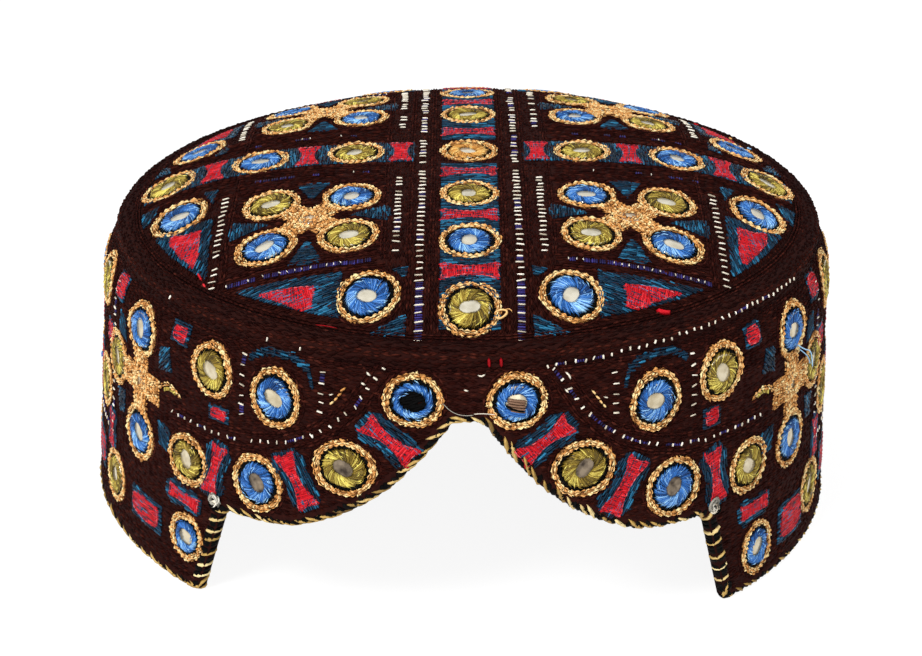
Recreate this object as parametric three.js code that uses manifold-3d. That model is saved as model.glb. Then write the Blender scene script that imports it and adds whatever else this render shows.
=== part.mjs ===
// A Balochi cap: a stiff round cap of embroidered cloth, set with small round mirrors.
// It stands on its rim at z = 0 with its cut-out front towards -y. It is modelled round the z axis
// and then moved so that the middle of its whole length and width is over the origin.
// Sizes are in millimetres and angles in degrees from the front, growing towards +x.
import * as THREE from "three";
import { mergeVertices } from "three/addons/utils/BufferGeometryUtils.js";
import Module from "manifold-3d";

const rimRadius = 93.4; // outside of the wall at the rim, round a 56 cm head
const wallTopRadius = 90;
const wallTopHeight = 53; // the shoulder starts to turn in here
const crownRadius = 84;
const crownEdgeHeight = 70.6;
const domeRise = 13.8;
const domePower = 3.5;
const shoulderPower = 3;
const sideLean = 0.032; // the right side stands this share taller, the left as much lower
const forwardShift = 1.54; // the cut-out takes this much off the front half of the cap's length

const clothThickness = 2.8;
const pieceGap = 0.3;
const crownPanelRadius = 81.2;
const sideBandTop = 66.5;
const rollBulge = 0.5;
const crownRadii = [0, 32, 48, 60, 70, 77, crownPanelRadius]; // rings of the top panel
const bandShares = [0, 0.4, 0.75, 0.86, 0.94, 1]; // rows of the side band, from its edge up

const bindingWidth = 2.6;
const bindingThickness = 3.6;
const bindingStep = 4.2;
const bindingSide = 0.6; // share of the half size where the binding's section has its corners
const tipSlope = 20; // degrees that the cut-out's edge leans where it meets the rim
const tipClearance = 1; // between the two bindings at a flap's tip

const mirrorRadius = 4.5;
const mirrorThickness = 0.8;
const flowerMirrorRadius = 2.6;
const wallMirrorDepth = 1.6; // how far a wall mirror reaches into its setting
const wallMirrorProud = 0.9;
const mirrorSides = 10;

// The lower front edge of one half, from the middle of the notch to the tip of the flap.
const frontEdge = [
  { angle: 0, height: 56 },
  { angle: 2, height: 55.8 },
  { angle: 6.2, height: 47.3 },
  { angle: 10.4, height: 39.8 },
  { angle: 14.7, height: 34.2 },
  { angle: 19.2, height: 29.9 },
  { angle: 24.5, height: 26.2 },
  { angle: 29, height: 25 },
  { angle: 36.4, height: 24.4 },
  { angle: 37.4, height: 22.4 },
  { angle: 41.5, height: 0 },
];
const tipAngle = frontEdge[frontEdge.length - 1].angle;

// Medallions of the crown: steps along the two bands, and the four flowers.
const bandSteps = [27.9, 51.5, 74.4];
const flowerCentre = 37.2;
const flowerArm = 9.5;
const cornerFar = 69.1;
const cornerNear = 22.4;
const patternShift = 0.7; // the crown's pattern sits this far behind the middle

// Medallions of one half of the wall, front to back. The front pair is at the notch, where the
// mirror of the left one is lost.
const wallMedallions = [
  { angle: 6.9, height: 61.6, leftLost: true },
  { angle: 16.9, height: 43.3 },
  { angle: 30.7, height: 34.8 },
  { angle: 45.1, height: 33 },
  { angle: 27.6, height: 56.6 },
  { angle: 39.5, height: 59.7 },
  { angle: 45.9, height: 11.7 },
];
const wallFlowers = [57.4, 118.7, 180];
const wallFlowerHeight = 46.2;
const wallFlowerArm = { angle: 9.3, height: 13 };
const wallPanels = [88, 149.4];
const wallPanelMedallions = [
  { offset: 0, height: 57 },
  { offset: 12, height: 60 },
  { offset: 0, height: 35 },
  { offset: 14, height: 34 },
];
const rimRowStart = 66.3;
const rimRowStep = 22.74;
const rimRowHeight = 13.1;

const ringSegments = 48;
const frontStep = 4.4; // between the wall's sections along the cut-out
const backStep = 7.5; // degrees between them behind it
const tipStations = [1, 2]; // degrees past the tip where the wall's foot turns into the rim
const backStart = tipAngle + 4;
const clearanceSteps = 12; // places tried on each side of a section for the binding's clear width
const slopeReach = 0.01; // half the height over which the wall's slope is measured
const turnReach = 0.4; // share of a binding step over which its direction is measured

const wasm = await Module();
wasm.setup();

const radians = THREE.MathUtils.degToRad;
const lerp = THREE.MathUtils.lerp;

function domeHeight(radius) {
  return crownEdgeHeight + domeRise * (1 - (radius / crownRadius) ** domePower);
}

function wallRadius(height) {
  if (height <= wallTopHeight) return lerp(rimRadius, wallTopRadius, height / wallTopHeight);
  const climb = (height - wallTopHeight) / (crownEdgeHeight - wallTopHeight);
  return lerp(wallTopRadius, crownRadius, climb ** shoulderPower);
}

// A point of the dome's section, sunk below the outer surface by depth.
function domePoint(radius, depth) {
  const slope = (-domeRise * domePower * (radius / crownRadius) ** (domePower - 1)) / crownRadius;
  const normal = new THREE.Vector2(-slope, 1).normalize();
  return new THREE.Vector2(radius, domeHeight(radius)).addScaledVector(normal, -depth);
}

// The same for the wall's section.
function wallPoint(height, depth) {
  const rise = wallRadius(height + slopeReach) - wallRadius(height - slopeReach);
  const slope = rise / (2 * slopeReach);
  const normal = new THREE.Vector2(1, -slope).normalize();
  return new THREE.Vector2(wallRadius(height), height).addScaledVector(normal, -depth);
}

function turned(section, angle) {
  const turn = radians(angle);
  return new THREE.Vector3(section.x * Math.sin(turn), -section.x * Math.cos(turn), section.y);
}

function settledHeight(x, height) {
  return height * (1 + (sideLean * x) / wallTopRadius);
}

// Leans a whole piece: the cap is a little taller on its right.
function settled(geometry) {
  const place = geometry.getAttribute("position");
  for (let i = 0; i < place.count; i += 1) {
    place.setZ(i, settledHeight(place.getX(i), place.getZ(i)));
  }
  geometry.computeVertexNormals();
  return geometry;
}

// A closed body through sections that are loops of points, with flat ends unless it is a ring.
function bodyThrough(sections, isRing) {
  const count = sections[0].length;
  const triangles = [];
  const spans = isRing ? sections.length : sections.length - 1;
  for (let i = 0; i < spans; i += 1) {
    const here = i * count;
    const next = ((i + 1) % sections.length) * count;
    for (let j = 0; j < count; j += 1) {
      const k = (j + 1) % count;
      triangles.push(here + j, here + k, next + k);
      triangles.push(here + j, next + k, next + j);
    }
  }
  if (!isRing) {
    const end = (sections.length - 1) * count;
    for (let j = 1; j + 1 < count; j += 1) {
      triangles.push(0, j + 1, j);
      triangles.push(end, end + j, end + j + 1);
    }
  }
  const corners = sections.flat();
  const volume = triangles.reduce((sum, corner, i) => {
    if (i % 3 !== 0) return sum;
    const [a, b, c] = [corner, triangles[i + 1], triangles[i + 2]].map((n) => corners[n]);
    return sum + a.dot(b.clone().cross(c));
  }, 0);
  if (volume < 0) triangles.reverse();
  const geometry = new THREE.BufferGeometry().setFromPoints(corners);
  geometry.setIndex(triangles);
  return geometry;
}

function solidOf(geometry) {
  const bare = geometry.clone();
  bare.deleteAttribute("normal");
  bare.deleteAttribute("uv");
  const merged = mergeVertices(bare, 1e-4);
  const vertProperties = new Float32Array(merged.getAttribute("position").array);
  const triVerts = new Uint32Array(merged.index.array);
  return new wasm.Manifold(new wasm.Mesh({ numProp: 3, vertProperties, triVerts }));
}

function geometryOf(solid) {
  const mesh = solid.getMesh();
  const geometry = new THREE.BufferGeometry();
  geometry.setAttribute("position", new THREE.BufferAttribute(mesh.vertProperties.slice(), 3));
  geometry.setIndex(new THREE.BufferAttribute(mesh.triVerts.slice(), 1));
  return geometry;
}

// The height of the lower front edge, straight between its rows.
function edgeHeight(angle) {
  const side = Math.min(Math.abs(angle), tipAngle);
  const row = Math.max(frontEdge.findIndex((corner) => corner.angle >= side), 1);
  const from = frontEdge[row - 1];
  const to = frontEdge[row];
  return lerp(from.height, to.height, (side - from.angle) / (to.angle - from.angle));
}

// The edge from the left tip to the right one, as lengths along the unrolled wall.
function frontEdgePath() {
  const half = frontEdge.map(({ angle, height }) => {
    return new THREE.Vector2(radians(angle) * wallTopRadius, height);
  });
  const left = half.slice(1).map((corner) => new THREE.Vector2(-corner.x, corner.y));
  return [...left.reverse(), ...half];
}

// How high cloth that keeps a clear width inside the whole lower edge may start.
function clothStart(angle, clear) {
  const along = radians(angle) * wallTopRadius;
  let start = clear;
  for (let offset = -clear; offset <= clear; offset += clear / clearanceSteps) {
    const beside = THREE.MathUtils.radToDeg((along + offset) / wallTopRadius);
    start = Math.max(start, edgeHeight(beside) + Math.sqrt(clear * clear - offset * offset));
  }
  return start;
}

// Where the wall's sections stand: close together along the cut-out, further apart behind it.
function stationAngles() {
  const angles = [...tipStations.map((step) => tipAngle + step), backStart];
  for (let i = 1; i < frontEdge.length; i += 1) {
    const from = frontEdge[i - 1];
    const to = frontEdge[i];
    const length = Math.hypot(radians(to.angle - from.angle) * wallTopRadius, to.height - from.height);
    const parts = Math.max(1, Math.round(length / frontStep));
    for (let part = 1; part <= parts; part += 1) {
      angles.push(lerp(from.angle, to.angle, part / parts));
    }
  }
  const parts = Math.round((180 - backStart) / backStep);
  for (let part = 1; part < parts; part += 1) {
    angles.push(lerp(backStart, 180, part / parts));
  }
  return [0, 180, ...angles, ...angles.map((angle) => -angle)].sort((a, b) => a - b);
}

function crownTop() {
  const outer = crownRadii.map((radius) => domePoint(radius, 0));
  const inner = crownRadii.map((radius) => domePoint(radius, clothThickness)).reverse();
  const geometry = new THREE.LatheGeometry([...outer, ...inner].reverse(), ringSegments);
  return geometry.rotateX(Math.PI / 2);
}

// The soft roll over the seam between the crown and the side band.
function crownRoll() {
  const start = crownPanelRadius + pieceGap;
  const end = sideBandTop + pieceGap;
  const top = [start, (start + crownRadius) / 2];
  const side = [crownEdgeHeight, (crownEdgeHeight + end) / 2, end];
  const last = top.length + side.length - 1;
  const bulge = (row) => -rollBulge * Math.sin((Math.PI * row) / last);
  const outer = [
    ...top.map((radius, row) => domePoint(radius, bulge(row))),
    ...side.map((height, row) => wallPoint(height, bulge(top.length + row))),
  ];
  const inner = [domePoint(start, clothThickness), wallPoint(crownEdgeHeight, clothThickness)];
  inner.push(wallPoint(end, clothThickness));
  const loop = [...outer, ...inner.reverse()];
  const geometry = new THREE.LatheGeometry([...loop, loop[0]].reverse(), ringSegments);
  return geometry.rotateX(Math.PI / 2);
}

// A disc that lies on the wall, sunk into the cloth and standing a little proud of it.
function wallMirror(angle, height, radius) {
  const thickness = wallMirrorDepth + wallMirrorProud;
  const disc = new THREE.CylinderGeometry(radius, radius, thickness, mirrorSides);
  const middle = turned(wallPoint(height, thickness / 2 - wallMirrorProud), angle);
  const outside = turned(wallPoint(height, thickness / 2 - wallMirrorProud - 1), angle);
  const normal = outside.sub(middle).normalize();
  disc.applyQuaternion(new THREE.Quaternion().setFromUnitVectors(new THREE.Vector3(0, 1, 0), normal));
  return solidOf(disc.translate(middle.x, middle.y, middle.z));
}

function wallMirrorPlaces() {
  const places = [];
  const mirrored = (angle, height, skipLeft) => {
    places.push({ angle, height, radius: mirrorRadius });
    if (angle < 180 && !skipLeft) places.push({ angle: -angle, height, radius: mirrorRadius });
  };
  for (const { angle, height, leftLost } of wallMedallions) mirrored(angle, height, leftLost);
  for (const middle of wallFlowers) {
    const height = wallFlowerHeight;
    mirrored(middle, height + wallFlowerArm.height);
    mirrored(middle, height - wallFlowerArm.height - 1);
    mirrored(middle - wallFlowerArm.angle, height);
    if (middle < 180) mirrored(middle + wallFlowerArm.angle, height);
    places.push({ angle: middle, height, radius: flowerMirrorRadius });
    if (middle < 180) places.push({ angle: -middle, height, radius: flowerMirrorRadius });
  }
  for (const middle of wallPanels) {
    for (const { offset, height } of wallPanelMedallions) {
      mirrored(middle + offset, height);
      if (offset > 0) mirrored(middle - offset, height);
    }
  }
  for (let angle = rimRowStart; angle <= 180; angle += rimRowStep) mirrored(angle, rimRowHeight);
  return places;
}

// The wall in one strip of cloth, cut out over the brow, with its mirrors sewn on.
function sideBand() {
  const sections = stationAngles().map((angle) => {
    const start = clothStart(angle, bindingWidth + pieceGap);
    const heights = bandShares.map((share) => lerp(start, sideBandTop, share));
    const outer = heights.map((height) => turned(wallPoint(height, 0), angle));
    const inner = heights.map((height) => turned(wallPoint(height, clothThickness), angle));
    return [...outer, ...inner.reverse()];
  });
  let band = solidOf(bodyThrough(sections, true));
  for (const { angle, height, radius } of wallMirrorPlaces()) {
    band = band.add(wallMirror(angle, height, radius));
  }
  return geometryOf(band);
}

// One section of a binding that wraps the edge: eight corners round its middle.
function bindingSection(along, height, inward) {
  const halfWidth = bindingWidth / 2;
  const halfThickness = bindingThickness / 2;
  const corners = [
    [-1, -bindingSide],
    [-1, bindingSide],
    [-bindingSide, 1],
    [bindingSide, 1],
    [1, bindingSide],
    [1, -bindingSide],
    [bindingSide, -1],
    [-bindingSide, -1],
  ];
  return corners.map(([through, across]) => {
    const s = along + inward.x * halfWidth * (1 + across);
    const z = Math.max(height + inward.y * halfWidth * (1 + across), 0);
    const depth = clothThickness / 2 + through * halfThickness;
    const point = turned(wallPoint(z, depth), THREE.MathUtils.radToDeg(s / wallTopRadius));
    point.z = Math.max(point.z, 0);
    return point;
  });
}

function frontBinding() {
  const path = new THREE.CurvePath();
  const corners = frontEdgePath();
  for (let i = 1; i < corners.length; i += 1) path.add(new THREE.LineCurve(corners[i - 1], corners[i]));
  const steps = Math.round(path.getLength() / bindingStep);
  const reach = turnReach / steps;
  const sections = [];
  for (let i = 0; i <= steps; i += 1) {
    const share = i / steps;
    const before = path.getPointAt(Math.max(share - reach, 0));
    const after = path.getPointAt(Math.min(share + reach, 1));
    const inward = new THREE.Vector2(before.y - after.y, after.x - before.x).normalize();
    const place = path.getPointAt(share);
    sections.push(bindingSection(place.x, place.y, inward));
  }
  return bodyThrough(sections, false);
}

// The same binding along the rim, from one flap round the back to the other, flat underneath.
function rimBinding() {
  const clear = (bindingWidth + 2 * pieceGap) / Math.cos(radians(tipSlope)) + tipClearance;
  const start = tipAngle + THREE.MathUtils.radToDeg(clear / wallTopRadius);
  const spans = Math.round((360 - 2 * start) / backStep);
  const inward = new THREE.Vector2(0, 1);
  const sections = [];
  for (let i = 0; i <= spans; i += 1) {
    const angle = lerp(start, 360 - start, i / spans);
    sections.push(bindingSection(radians(angle) * wallTopRadius, 0, inward));
  }
  return bodyThrough(sections, false);
}

const cap = new THREE.Group();
cap.position.y = -forwardShift;

function finish(colour, roughness, metalness) {
  return new THREE.MeshStandardMaterial({ color: colour, roughness, metalness });
}

const maroonCloth = finish(0x3a100d, 0.9, 0);
const maroonRoll = finish(0x2e0d0a, 0.95, 0);
const edgeThread = finish(0xb59a3f, 0.7, 0);
const mirrorGlass = finish(0xe8e4da, 0.08, 1);

function addPiece(name, geometry, material) {
  const piece = new THREE.Mesh(settled(geometry), material);
  piece.name = name;
  cap.add(piece);
}

addPiece("crown_top", crownTop(), maroonCloth);
addPiece("crown_roll", crownRoll(), maroonRoll);
addPiece("side_band", sideBand(), maroonCloth);
addPiece("front_binding", frontBinding(), edgeThread);
addPiece("rim_binding", rimBinding(), edgeThread);

function crownSurface(x, y) {
  return new THREE.Vector3(x, y, settledHeight(x, domeHeight(Math.hypot(x, y))));
}

function addCrownMirror(name, x, y, radius) {
  const depth = y + patternShift;
  const seat = crownSurface(x, depth);
  const along = crownSurface(x + 1, depth).sub(crownSurface(x - 1, depth));
  const back = crownSurface(x, depth + 1).sub(crownSurface(x, depth - 1));
  const normal = along.cross(back).normalize();
  const disc = new THREE.CylinderGeometry(radius, radius, mirrorThickness, mirrorSides);
  const mirror = new THREE.Mesh(disc, mirrorGlass);
  mirror.name = name;
  mirror.quaternion.setFromUnitVectors(new THREE.Vector3(0, 1, 0), normal);
  mirror.position.copy(seat).addScaledVector(normal, pieceGap + mirrorThickness / 2);
  cap.add(mirror);
}

addCrownMirror("crown_mirror_middle", 0, 0, mirrorRadius);
bandSteps.forEach((step, i) => {
  const number = i + 1;
  addCrownMirror(`crown_mirror_front_${number}`, 0, -step, mirrorRadius);
  addCrownMirror(`crown_mirror_back_${number}`, 0, step, mirrorRadius);
  addCrownMirror(`crown_mirror_left_${number}`, -step, 0, mirrorRadius);
  addCrownMirror(`crown_mirror_right_${number}`, step, 0, mirrorRadius);
});

const quarters = [
  { name: "front_left", x: -1, y: -1 },
  { name: "front_right", x: 1, y: -1 },
  { name: "back_left", x: -1, y: 1 },
  { name: "back_right", x: 1, y: 1 },
];
for (const { name, x, y } of quarters) {
  const near = flowerCentre - flowerArm;
  const far = flowerCentre + flowerArm;
  addCrownMirror(`flower_${name}_middle`, x * flowerCentre, y * flowerCentre, flowerMirrorRadius);
  addCrownMirror(`flower_${name}_near_near`, x * near, y * near, mirrorRadius);
  addCrownMirror(`flower_${name}_near_far`, x * near, y * far, mirrorRadius);
  addCrownMirror(`flower_${name}_far_near`, x * far, y * near, mirrorRadius);
  addCrownMirror(`flower_${name}_far_far`, x * far, y * far, mirrorRadius);
  addCrownMirror(`corner_${name}_end`, x * cornerNear, y * cornerFar, mirrorRadius);
  addCrownMirror(`corner_${name}_side`, x * cornerFar, y * cornerNear, mirrorRadius);
}

export default cap;
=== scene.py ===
import math

import bpy
import numpy as np
from mathutils import Matrix, Vector


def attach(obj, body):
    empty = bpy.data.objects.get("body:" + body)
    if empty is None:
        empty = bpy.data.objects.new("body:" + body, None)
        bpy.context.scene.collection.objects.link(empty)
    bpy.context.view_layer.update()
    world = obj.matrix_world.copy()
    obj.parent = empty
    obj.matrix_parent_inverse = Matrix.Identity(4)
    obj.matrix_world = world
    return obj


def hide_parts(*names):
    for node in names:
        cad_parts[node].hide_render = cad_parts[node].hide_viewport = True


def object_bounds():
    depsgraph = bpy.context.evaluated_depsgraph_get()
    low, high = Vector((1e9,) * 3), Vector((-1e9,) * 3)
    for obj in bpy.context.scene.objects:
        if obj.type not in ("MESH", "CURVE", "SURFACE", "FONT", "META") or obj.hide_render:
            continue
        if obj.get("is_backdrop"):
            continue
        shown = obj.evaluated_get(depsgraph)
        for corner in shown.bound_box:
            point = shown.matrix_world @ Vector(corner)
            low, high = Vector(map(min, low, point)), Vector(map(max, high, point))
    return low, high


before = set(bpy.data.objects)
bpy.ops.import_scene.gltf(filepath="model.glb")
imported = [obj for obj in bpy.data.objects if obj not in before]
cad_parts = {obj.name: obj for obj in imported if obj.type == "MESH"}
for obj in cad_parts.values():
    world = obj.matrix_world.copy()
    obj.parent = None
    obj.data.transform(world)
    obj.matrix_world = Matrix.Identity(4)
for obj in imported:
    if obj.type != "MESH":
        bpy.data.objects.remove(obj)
cad_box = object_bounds()

# The camera stands over half a metre in front of the cap and looks down through a long lens. It is
# turned a little to the left of square and held slightly askew, so the cap leans to the right.
mm = 0.001  # the sizes are in millimetres, and Blender's are in metres
forward_shift = 1.54  # the round of the cap is centred this far in front of the origin
camera_distance = 559
camera_aim = (-0.89, 36.6)  # across and up
camera_climb = math.radians(24.94)
camera_turn = math.radians(0.75)
camera_roll = math.radians(1.42)
camera_lens = 85.16

bpy.ops.object.select_all(action="DESELECT")
bpy.ops.object.camera_add()
camera = bpy.context.object
camera.data.sensor_width = 36
camera.data.lens = camera_lens
camera.data.clip_start = 0.01
away = Vector((0, -math.cos(camera_climb), math.sin(camera_climb)))
level_up = Vector((0, math.sin(camera_climb), math.cos(camera_climb)))
level_right = Vector((1, 0, 0))
right = level_right * math.cos(camera_roll) + level_up * math.sin(camera_roll)
up = level_up * math.cos(camera_roll) - level_right * math.sin(camera_roll)
camera_place = Matrix((right, up, away)).transposed().to_4x4()
camera_place.translation = Vector((camera_aim[0], 0, camera_aim[1])) + away * camera_distance
camera_place.translation *= mm
cap_axis = Matrix.Translation((0, -forward_shift * mm, 0))
camera.matrix_world = cap_axis @ Matrix.Rotation(-camera_turn, 4, "Z") @ camera_place
bpy.context.scene.camera = camera

# A white studio: an even white surround, a large soft lamp high on the left, and weak ones in front
# and on the right. The cap stands on a wide, plain, lit board that shows white all over.
surround = bpy.data.worlds.new("white_surround")
surround.use_nodes = True
surround_light = surround.node_tree.nodes["Background"]
surround_light.inputs["Color"].default_value = (1, 1, 1, 1)
surround_light.inputs["Strength"].default_value = 0.6
bpy.context.scene.world = surround
bpy.context.scene.view_settings.view_transform = "Standard"

lamp_target = Vector((0, 0, 0.04))
for lamp_name, place, size, power in (
    ("key_lamp", (-0.6, -0.75, 1.15), 0.4, 17),
    ("front_lamp", (0.15, -1.35, 0.6), 0.9, 4),
    ("side_lamp", (1.1, -0.35, 0.7), 0.9, 3),
):
    bpy.ops.object.light_add(type="AREA", location=place)
    lamp = bpy.context.object
    lamp.name = lamp_name
    lamp.data.size = size
    lamp.data.energy = power
    lamp.rotation_euler = (Vector(place) - lamp_target).to_track_quat("Z", "Y").to_euler()

board_material = bpy.data.materials.new("lit_board")
board_material.use_nodes = True
board_shader = board_material.node_tree.nodes["Principled BSDF"]
board_shader.inputs["Base Color"].default_value = (0.15, 0.15, 0.15, 1)
board_shader.inputs["Roughness"].default_value = 0.9
board_shader.inputs["Emission Color"].default_value = (1, 1, 1, 1)
board_shader.inputs["Emission Strength"].default_value = 0.9
bpy.ops.mesh.primitive_plane_add(size=9)
board = bpy.context.object
board.name = "board"
board.data.materials.append(board_material)
board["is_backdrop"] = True

# The crown's cloth is a stiff round panel of several layers, cut as a disc and worked into a low
# dome by the embroidery that covers it. It is sewn to the side band under the shoulder roll.
crown_radius = 84
crown_edge_height = 70.6
dome_rise = 13.8
dome_power = 3.5
crown_panel_radius = 81.2
crown_cloth_radius = 81.85  # the cloth runs on to the edge of the roll
cloth_thickness = 2.8
pattern_shift = 0.7  # the crown's pattern sits this far behind the middle of the panel
side_lean = 0.032  # the right side stands this share taller, the left as much lower
wall_top_radius = 90
rng = np.random.default_rng(11)


def settle(x, y, z):
    """Places of the cap's shape in metres: millimetres round its own axis, with its lean."""
    leaned = z * (1 + side_lean * x / wall_top_radius)
    return np.stack(np.broadcast_arrays(x, y - forward_shift, leaned), axis=-1) * mm


def crown_surface(x, y):
    """A place on the dome, from places in the crown's pattern."""
    y = y + pattern_shift
    share = np.hypot(x, y) / crown_radius
    return settle(x, y, crown_edge_height + dome_rise * (1 - share**dome_power))


def tint(code):
    """The colour of a six-figure code as Blender's own red, green, blue and alpha."""
    parts = [int(code[i : i + 2], 16) / 255 for i in (0, 2, 4)]
    return [p / 12.92 if p <= 0.04045 else ((p + 0.055) / 1.055) ** 2.4 for p in parts] + [1]


class Wire:
    """An output in a material. Arithmetic on it adds Math nodes, and node() adds any other."""

    def __init__(self, tree, output=None):
        self.tree = tree
        self.output = output

    def node(self, kind, settings, sockets, out=0):
        made = self.tree.nodes.new("ShaderNode" + kind)
        for name, value in settings.items():
            if name == "stops":
                while len(made.color_ramp.elements) < len(value):
                    made.color_ramp.elements.new(0.5)
                for element, (place, colour) in zip(made.color_ramp.elements, value):
                    element.position = place
                    element.color = colour
            else:
                setattr(made, name, value)
        for name, value in sockets.items():
            if isinstance(value, Wire):
                self.tree.links.new(value.output, made.inputs[name])
            else:
                made.inputs[name].default_value = value
        return Wire(self.tree, made.outputs[out])

    def calculate(self, operation, first, second):
        return self.node("Math", {"operation": operation}, {0: first, 1: second})

    def __add__(self, other):
        return self.calculate("ADD", self, other)

    def __mul__(self, other):
        return self.calculate("MULTIPLY", self, other)

    def __sub__(self, other):
        return self.calculate("SUBTRACT", self, other)

    def __rsub__(self, other):
        return self.calculate("SUBTRACT", other, self)

    __radd__ = __add__
    __rmul__ = __mul__


def start_material(name):
    """An empty material and a wire to build it with."""
    material = bpy.data.materials.new(name)
    material.use_nodes = True
    material.node_tree.nodes.clear()
    return material, Wire(material.node_tree)


def end_material(wire, shader):
    """Joins the finished shader to the material's output."""
    output = wire.tree.nodes.new("ShaderNodeOutputMaterial")
    wire.tree.links.new(shader.output, output.inputs["Surface"])


def cloth_material(name, dark, light):
    """Close maroon cloth: short threads in a plain weave, worn unevenly, with a soft nap."""
    material, wire = start_material(name)
    place = wire.node("TexCoord", {}, {}, "Object")
    nap = wire.node("TexNoise", {}, {"Vector": place, "Scale": 900.0, "Detail": 3.0})
    wear = wire.node("TexNoise", {}, {"Vector": place, "Scale": 60.0, "Detail": 4.0})
    amount = nap * 0.6 + wear * 0.4
    stops = [(0.3, tint(dark)), (0.7, tint(light))]
    colour = wire.node("ValToRGB", {"stops": stops}, {"Fac": amount})
    bump = wire.node("Bump", {}, {"Strength": 0.5, "Distance": 0.0004, "Height": nap})
    sockets = {"Base Color": colour, "Roughness": 0.92, "Normal": bump, "Specular IOR Level": 0.08}
    end_material(wire, wire.node("BsdfPrincipled", {}, sockets))
    return material


def close_piece(piece, name, material, slot, *nodes):
    """Names and finishes a piece, gives it its material and hides the model's parts that it stands for.
    """
    piece.name = name
    piece.data.name = name
    piece.data.materials.clear()
    piece.data.materials.append(material)
    piece.data.shade_smooth()
    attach(piece, "root")
    if nodes:
        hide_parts(*nodes)


def reshape(piece, surface):
    """Moves every point of a piece to where surface puts it."""
    points = np.empty(len(piece.data.vertices) * 3)
    piece.data.vertices.foreach_get("co", points)
    x, y, z = points.reshape(-1, 3).T
    piece.data.vertices.foreach_set("co", surface(x, y, z).ravel())
    piece.data.update()


def thicken(piece, thickness):
    """Gives a sheet its thickness, inwards from its outer face."""
    bpy.ops.object.modifier_add(type="SOLIDIFY")
    solidify = piece.modifiers[-1]
    solidify.thickness = thickness * mm
    solidify.offset = -1
    solidify.use_even_offset = True
    bpy.ops.object.modifier_apply(modifier=solidify.name)


maroon_cloth = cloth_material("maroon_cloth", "160403", "2e0f0a")
crown_ring_count = 14
crown_point_count = 96
bpy.ops.object.select_all(action="DESELECT")
bpy.ops.mesh.primitive_circle_add(
    vertices=crown_point_count, radius=crown_cloth_radius, fill_type="NGON"
)
crown_cloth = bpy.context.object
bpy.ops.object.mode_set(mode="EDIT")
bpy.ops.mesh.select_all(action="SELECT")
for _ in range(crown_ring_count):
    bpy.ops.mesh.inset(thickness=crown_cloth_radius / (crown_ring_count + 1))
bpy.ops.object.mode_set(mode="OBJECT")
reshape(crown_cloth, lambda x, y, z: crown_surface(x, y - pattern_shift))
thicken(crown_cloth, cloth_thickness)
close_piece(crown_cloth, "crown_cloth", maroon_cloth, "embroidered_cloth", "crown_top")

# The shoulder roll is a soft dark roll of close maroon stitching over the seam between the crown
# and the side band. It starts on the dome, turns over the shoulder and ends on the wall.
rim_radius = 93.4
wall_top_height = 53
shoulder_power = 3
side_band_top = 66.5
piece_gap = 0.3
roll_bulge = 1.6
roll_softness = 1.3  # above 1 the roll lies flat along its two seams
roll_columns = 144
roll_steps = 12
section_count = 200
full_turn = 2 * math.pi


def wall_radius(height):
    """The outside of the wall: a straight slope, then the shoulder that turns in."""
    climb = np.clip((height - wall_top_height) / (crown_edge_height - wall_top_height), 0, None)
    slope = rim_radius + (wall_top_radius - rim_radius) * height / wall_top_height
    shoulder = wall_top_radius + (crown_radius - wall_top_radius) * climb**shoulder_power
    return np.where(height <= wall_top_height, slope, shoulder)


def round_cap(along, radius, height):
    """A place round the cap's axis, along being millimetres round the top of the wall."""
    angle = along / wall_top_radius
    return settle(radius * np.sin(angle), -radius * np.cos(angle), height)


def wall_surface(along, height):
    """A place on the side band, from millimetres round the wall and up it."""
    return round_cap(along, wall_radius(height), height)


# The section of the shoulder, from the foot of the wall over the edge to the middle of the dome.
section_heights = np.linspace(0, crown_edge_height, section_count)
section_radii = np.linspace(crown_radius, 0, section_count)[1:]
section_dome = crown_edge_height + dome_rise * (1 - (section_radii / crown_radius) ** dome_power)
section_wall = np.stack([wall_radius(section_heights), section_heights], axis=1)
section = np.concatenate([section_wall, np.stack([section_radii, section_dome], axis=1)])
section_lengths = np.concatenate([[0], np.cumsum(np.hypot(*np.diff(section, axis=0).T))])
shoulder_edge = section_lengths[section_count - 1]


def shoulder_surface(along, climb):
    """A place on the shoulder, climb being millimetres up the section from the rim."""
    radius = np.interp(climb, section_lengths, section[:, 0])
    height = np.interp(climb, section_lengths, section[:, 1])
    return round_cap(along, radius, height)


def lifted(surface, u, v, lift):
    """Places above a surface by lift, and the surface's outward direction there."""
    reach = 0.4  # the slope is taken between places this far to each side
    across = surface(u + reach, v) - surface(u - reach, v)
    upward = surface(u, v + reach) - surface(u, v - reach)
    normal = np.cross(across, upward)
    normal /= np.linalg.norm(normal, axis=-1, keepdims=True)
    return surface(u, v) + normal * (np.asarray(lift) * mm)[..., None], normal


wall_round = full_turn * wall_top_radius
roll_low = np.interp(side_band_top + piece_gap, section_heights, section_lengths[:section_count])
roll_high = shoulder_edge + crown_radius - crown_panel_radius - piece_gap
roll_material = cloth_material("maroon_roll", "140403", "2c0f0a")
bpy.ops.object.select_all(action="DESELECT")
bpy.ops.mesh.primitive_grid_add(x_subdivisions=roll_columns, y_subdivisions=roll_steps, size=1)
roll_cloth = bpy.context.object


def fullness(share):
    """How far the roll stands out, across its width."""
    return roll_bulge * np.sin(math.pi * share) ** roll_softness


def roll_shape(x, y, z):
    """The strip bent round the shoulder, fullest in its middle."""
    share = y + 0.5
    climb = roll_low + (roll_high - roll_low) * share
    return lifted(shoulder_surface, x * wall_round, climb, fullness(share))[0]


def work_whole(operator, **settings):
    """Runs an edit mode operator on the whole of the piece in hand."""
    bpy.ops.object.mode_set(mode="EDIT")
    bpy.ops.mesh.select_all(action="SELECT")
    operator(**settings)
    bpy.ops.object.mode_set(mode="OBJECT")


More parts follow.
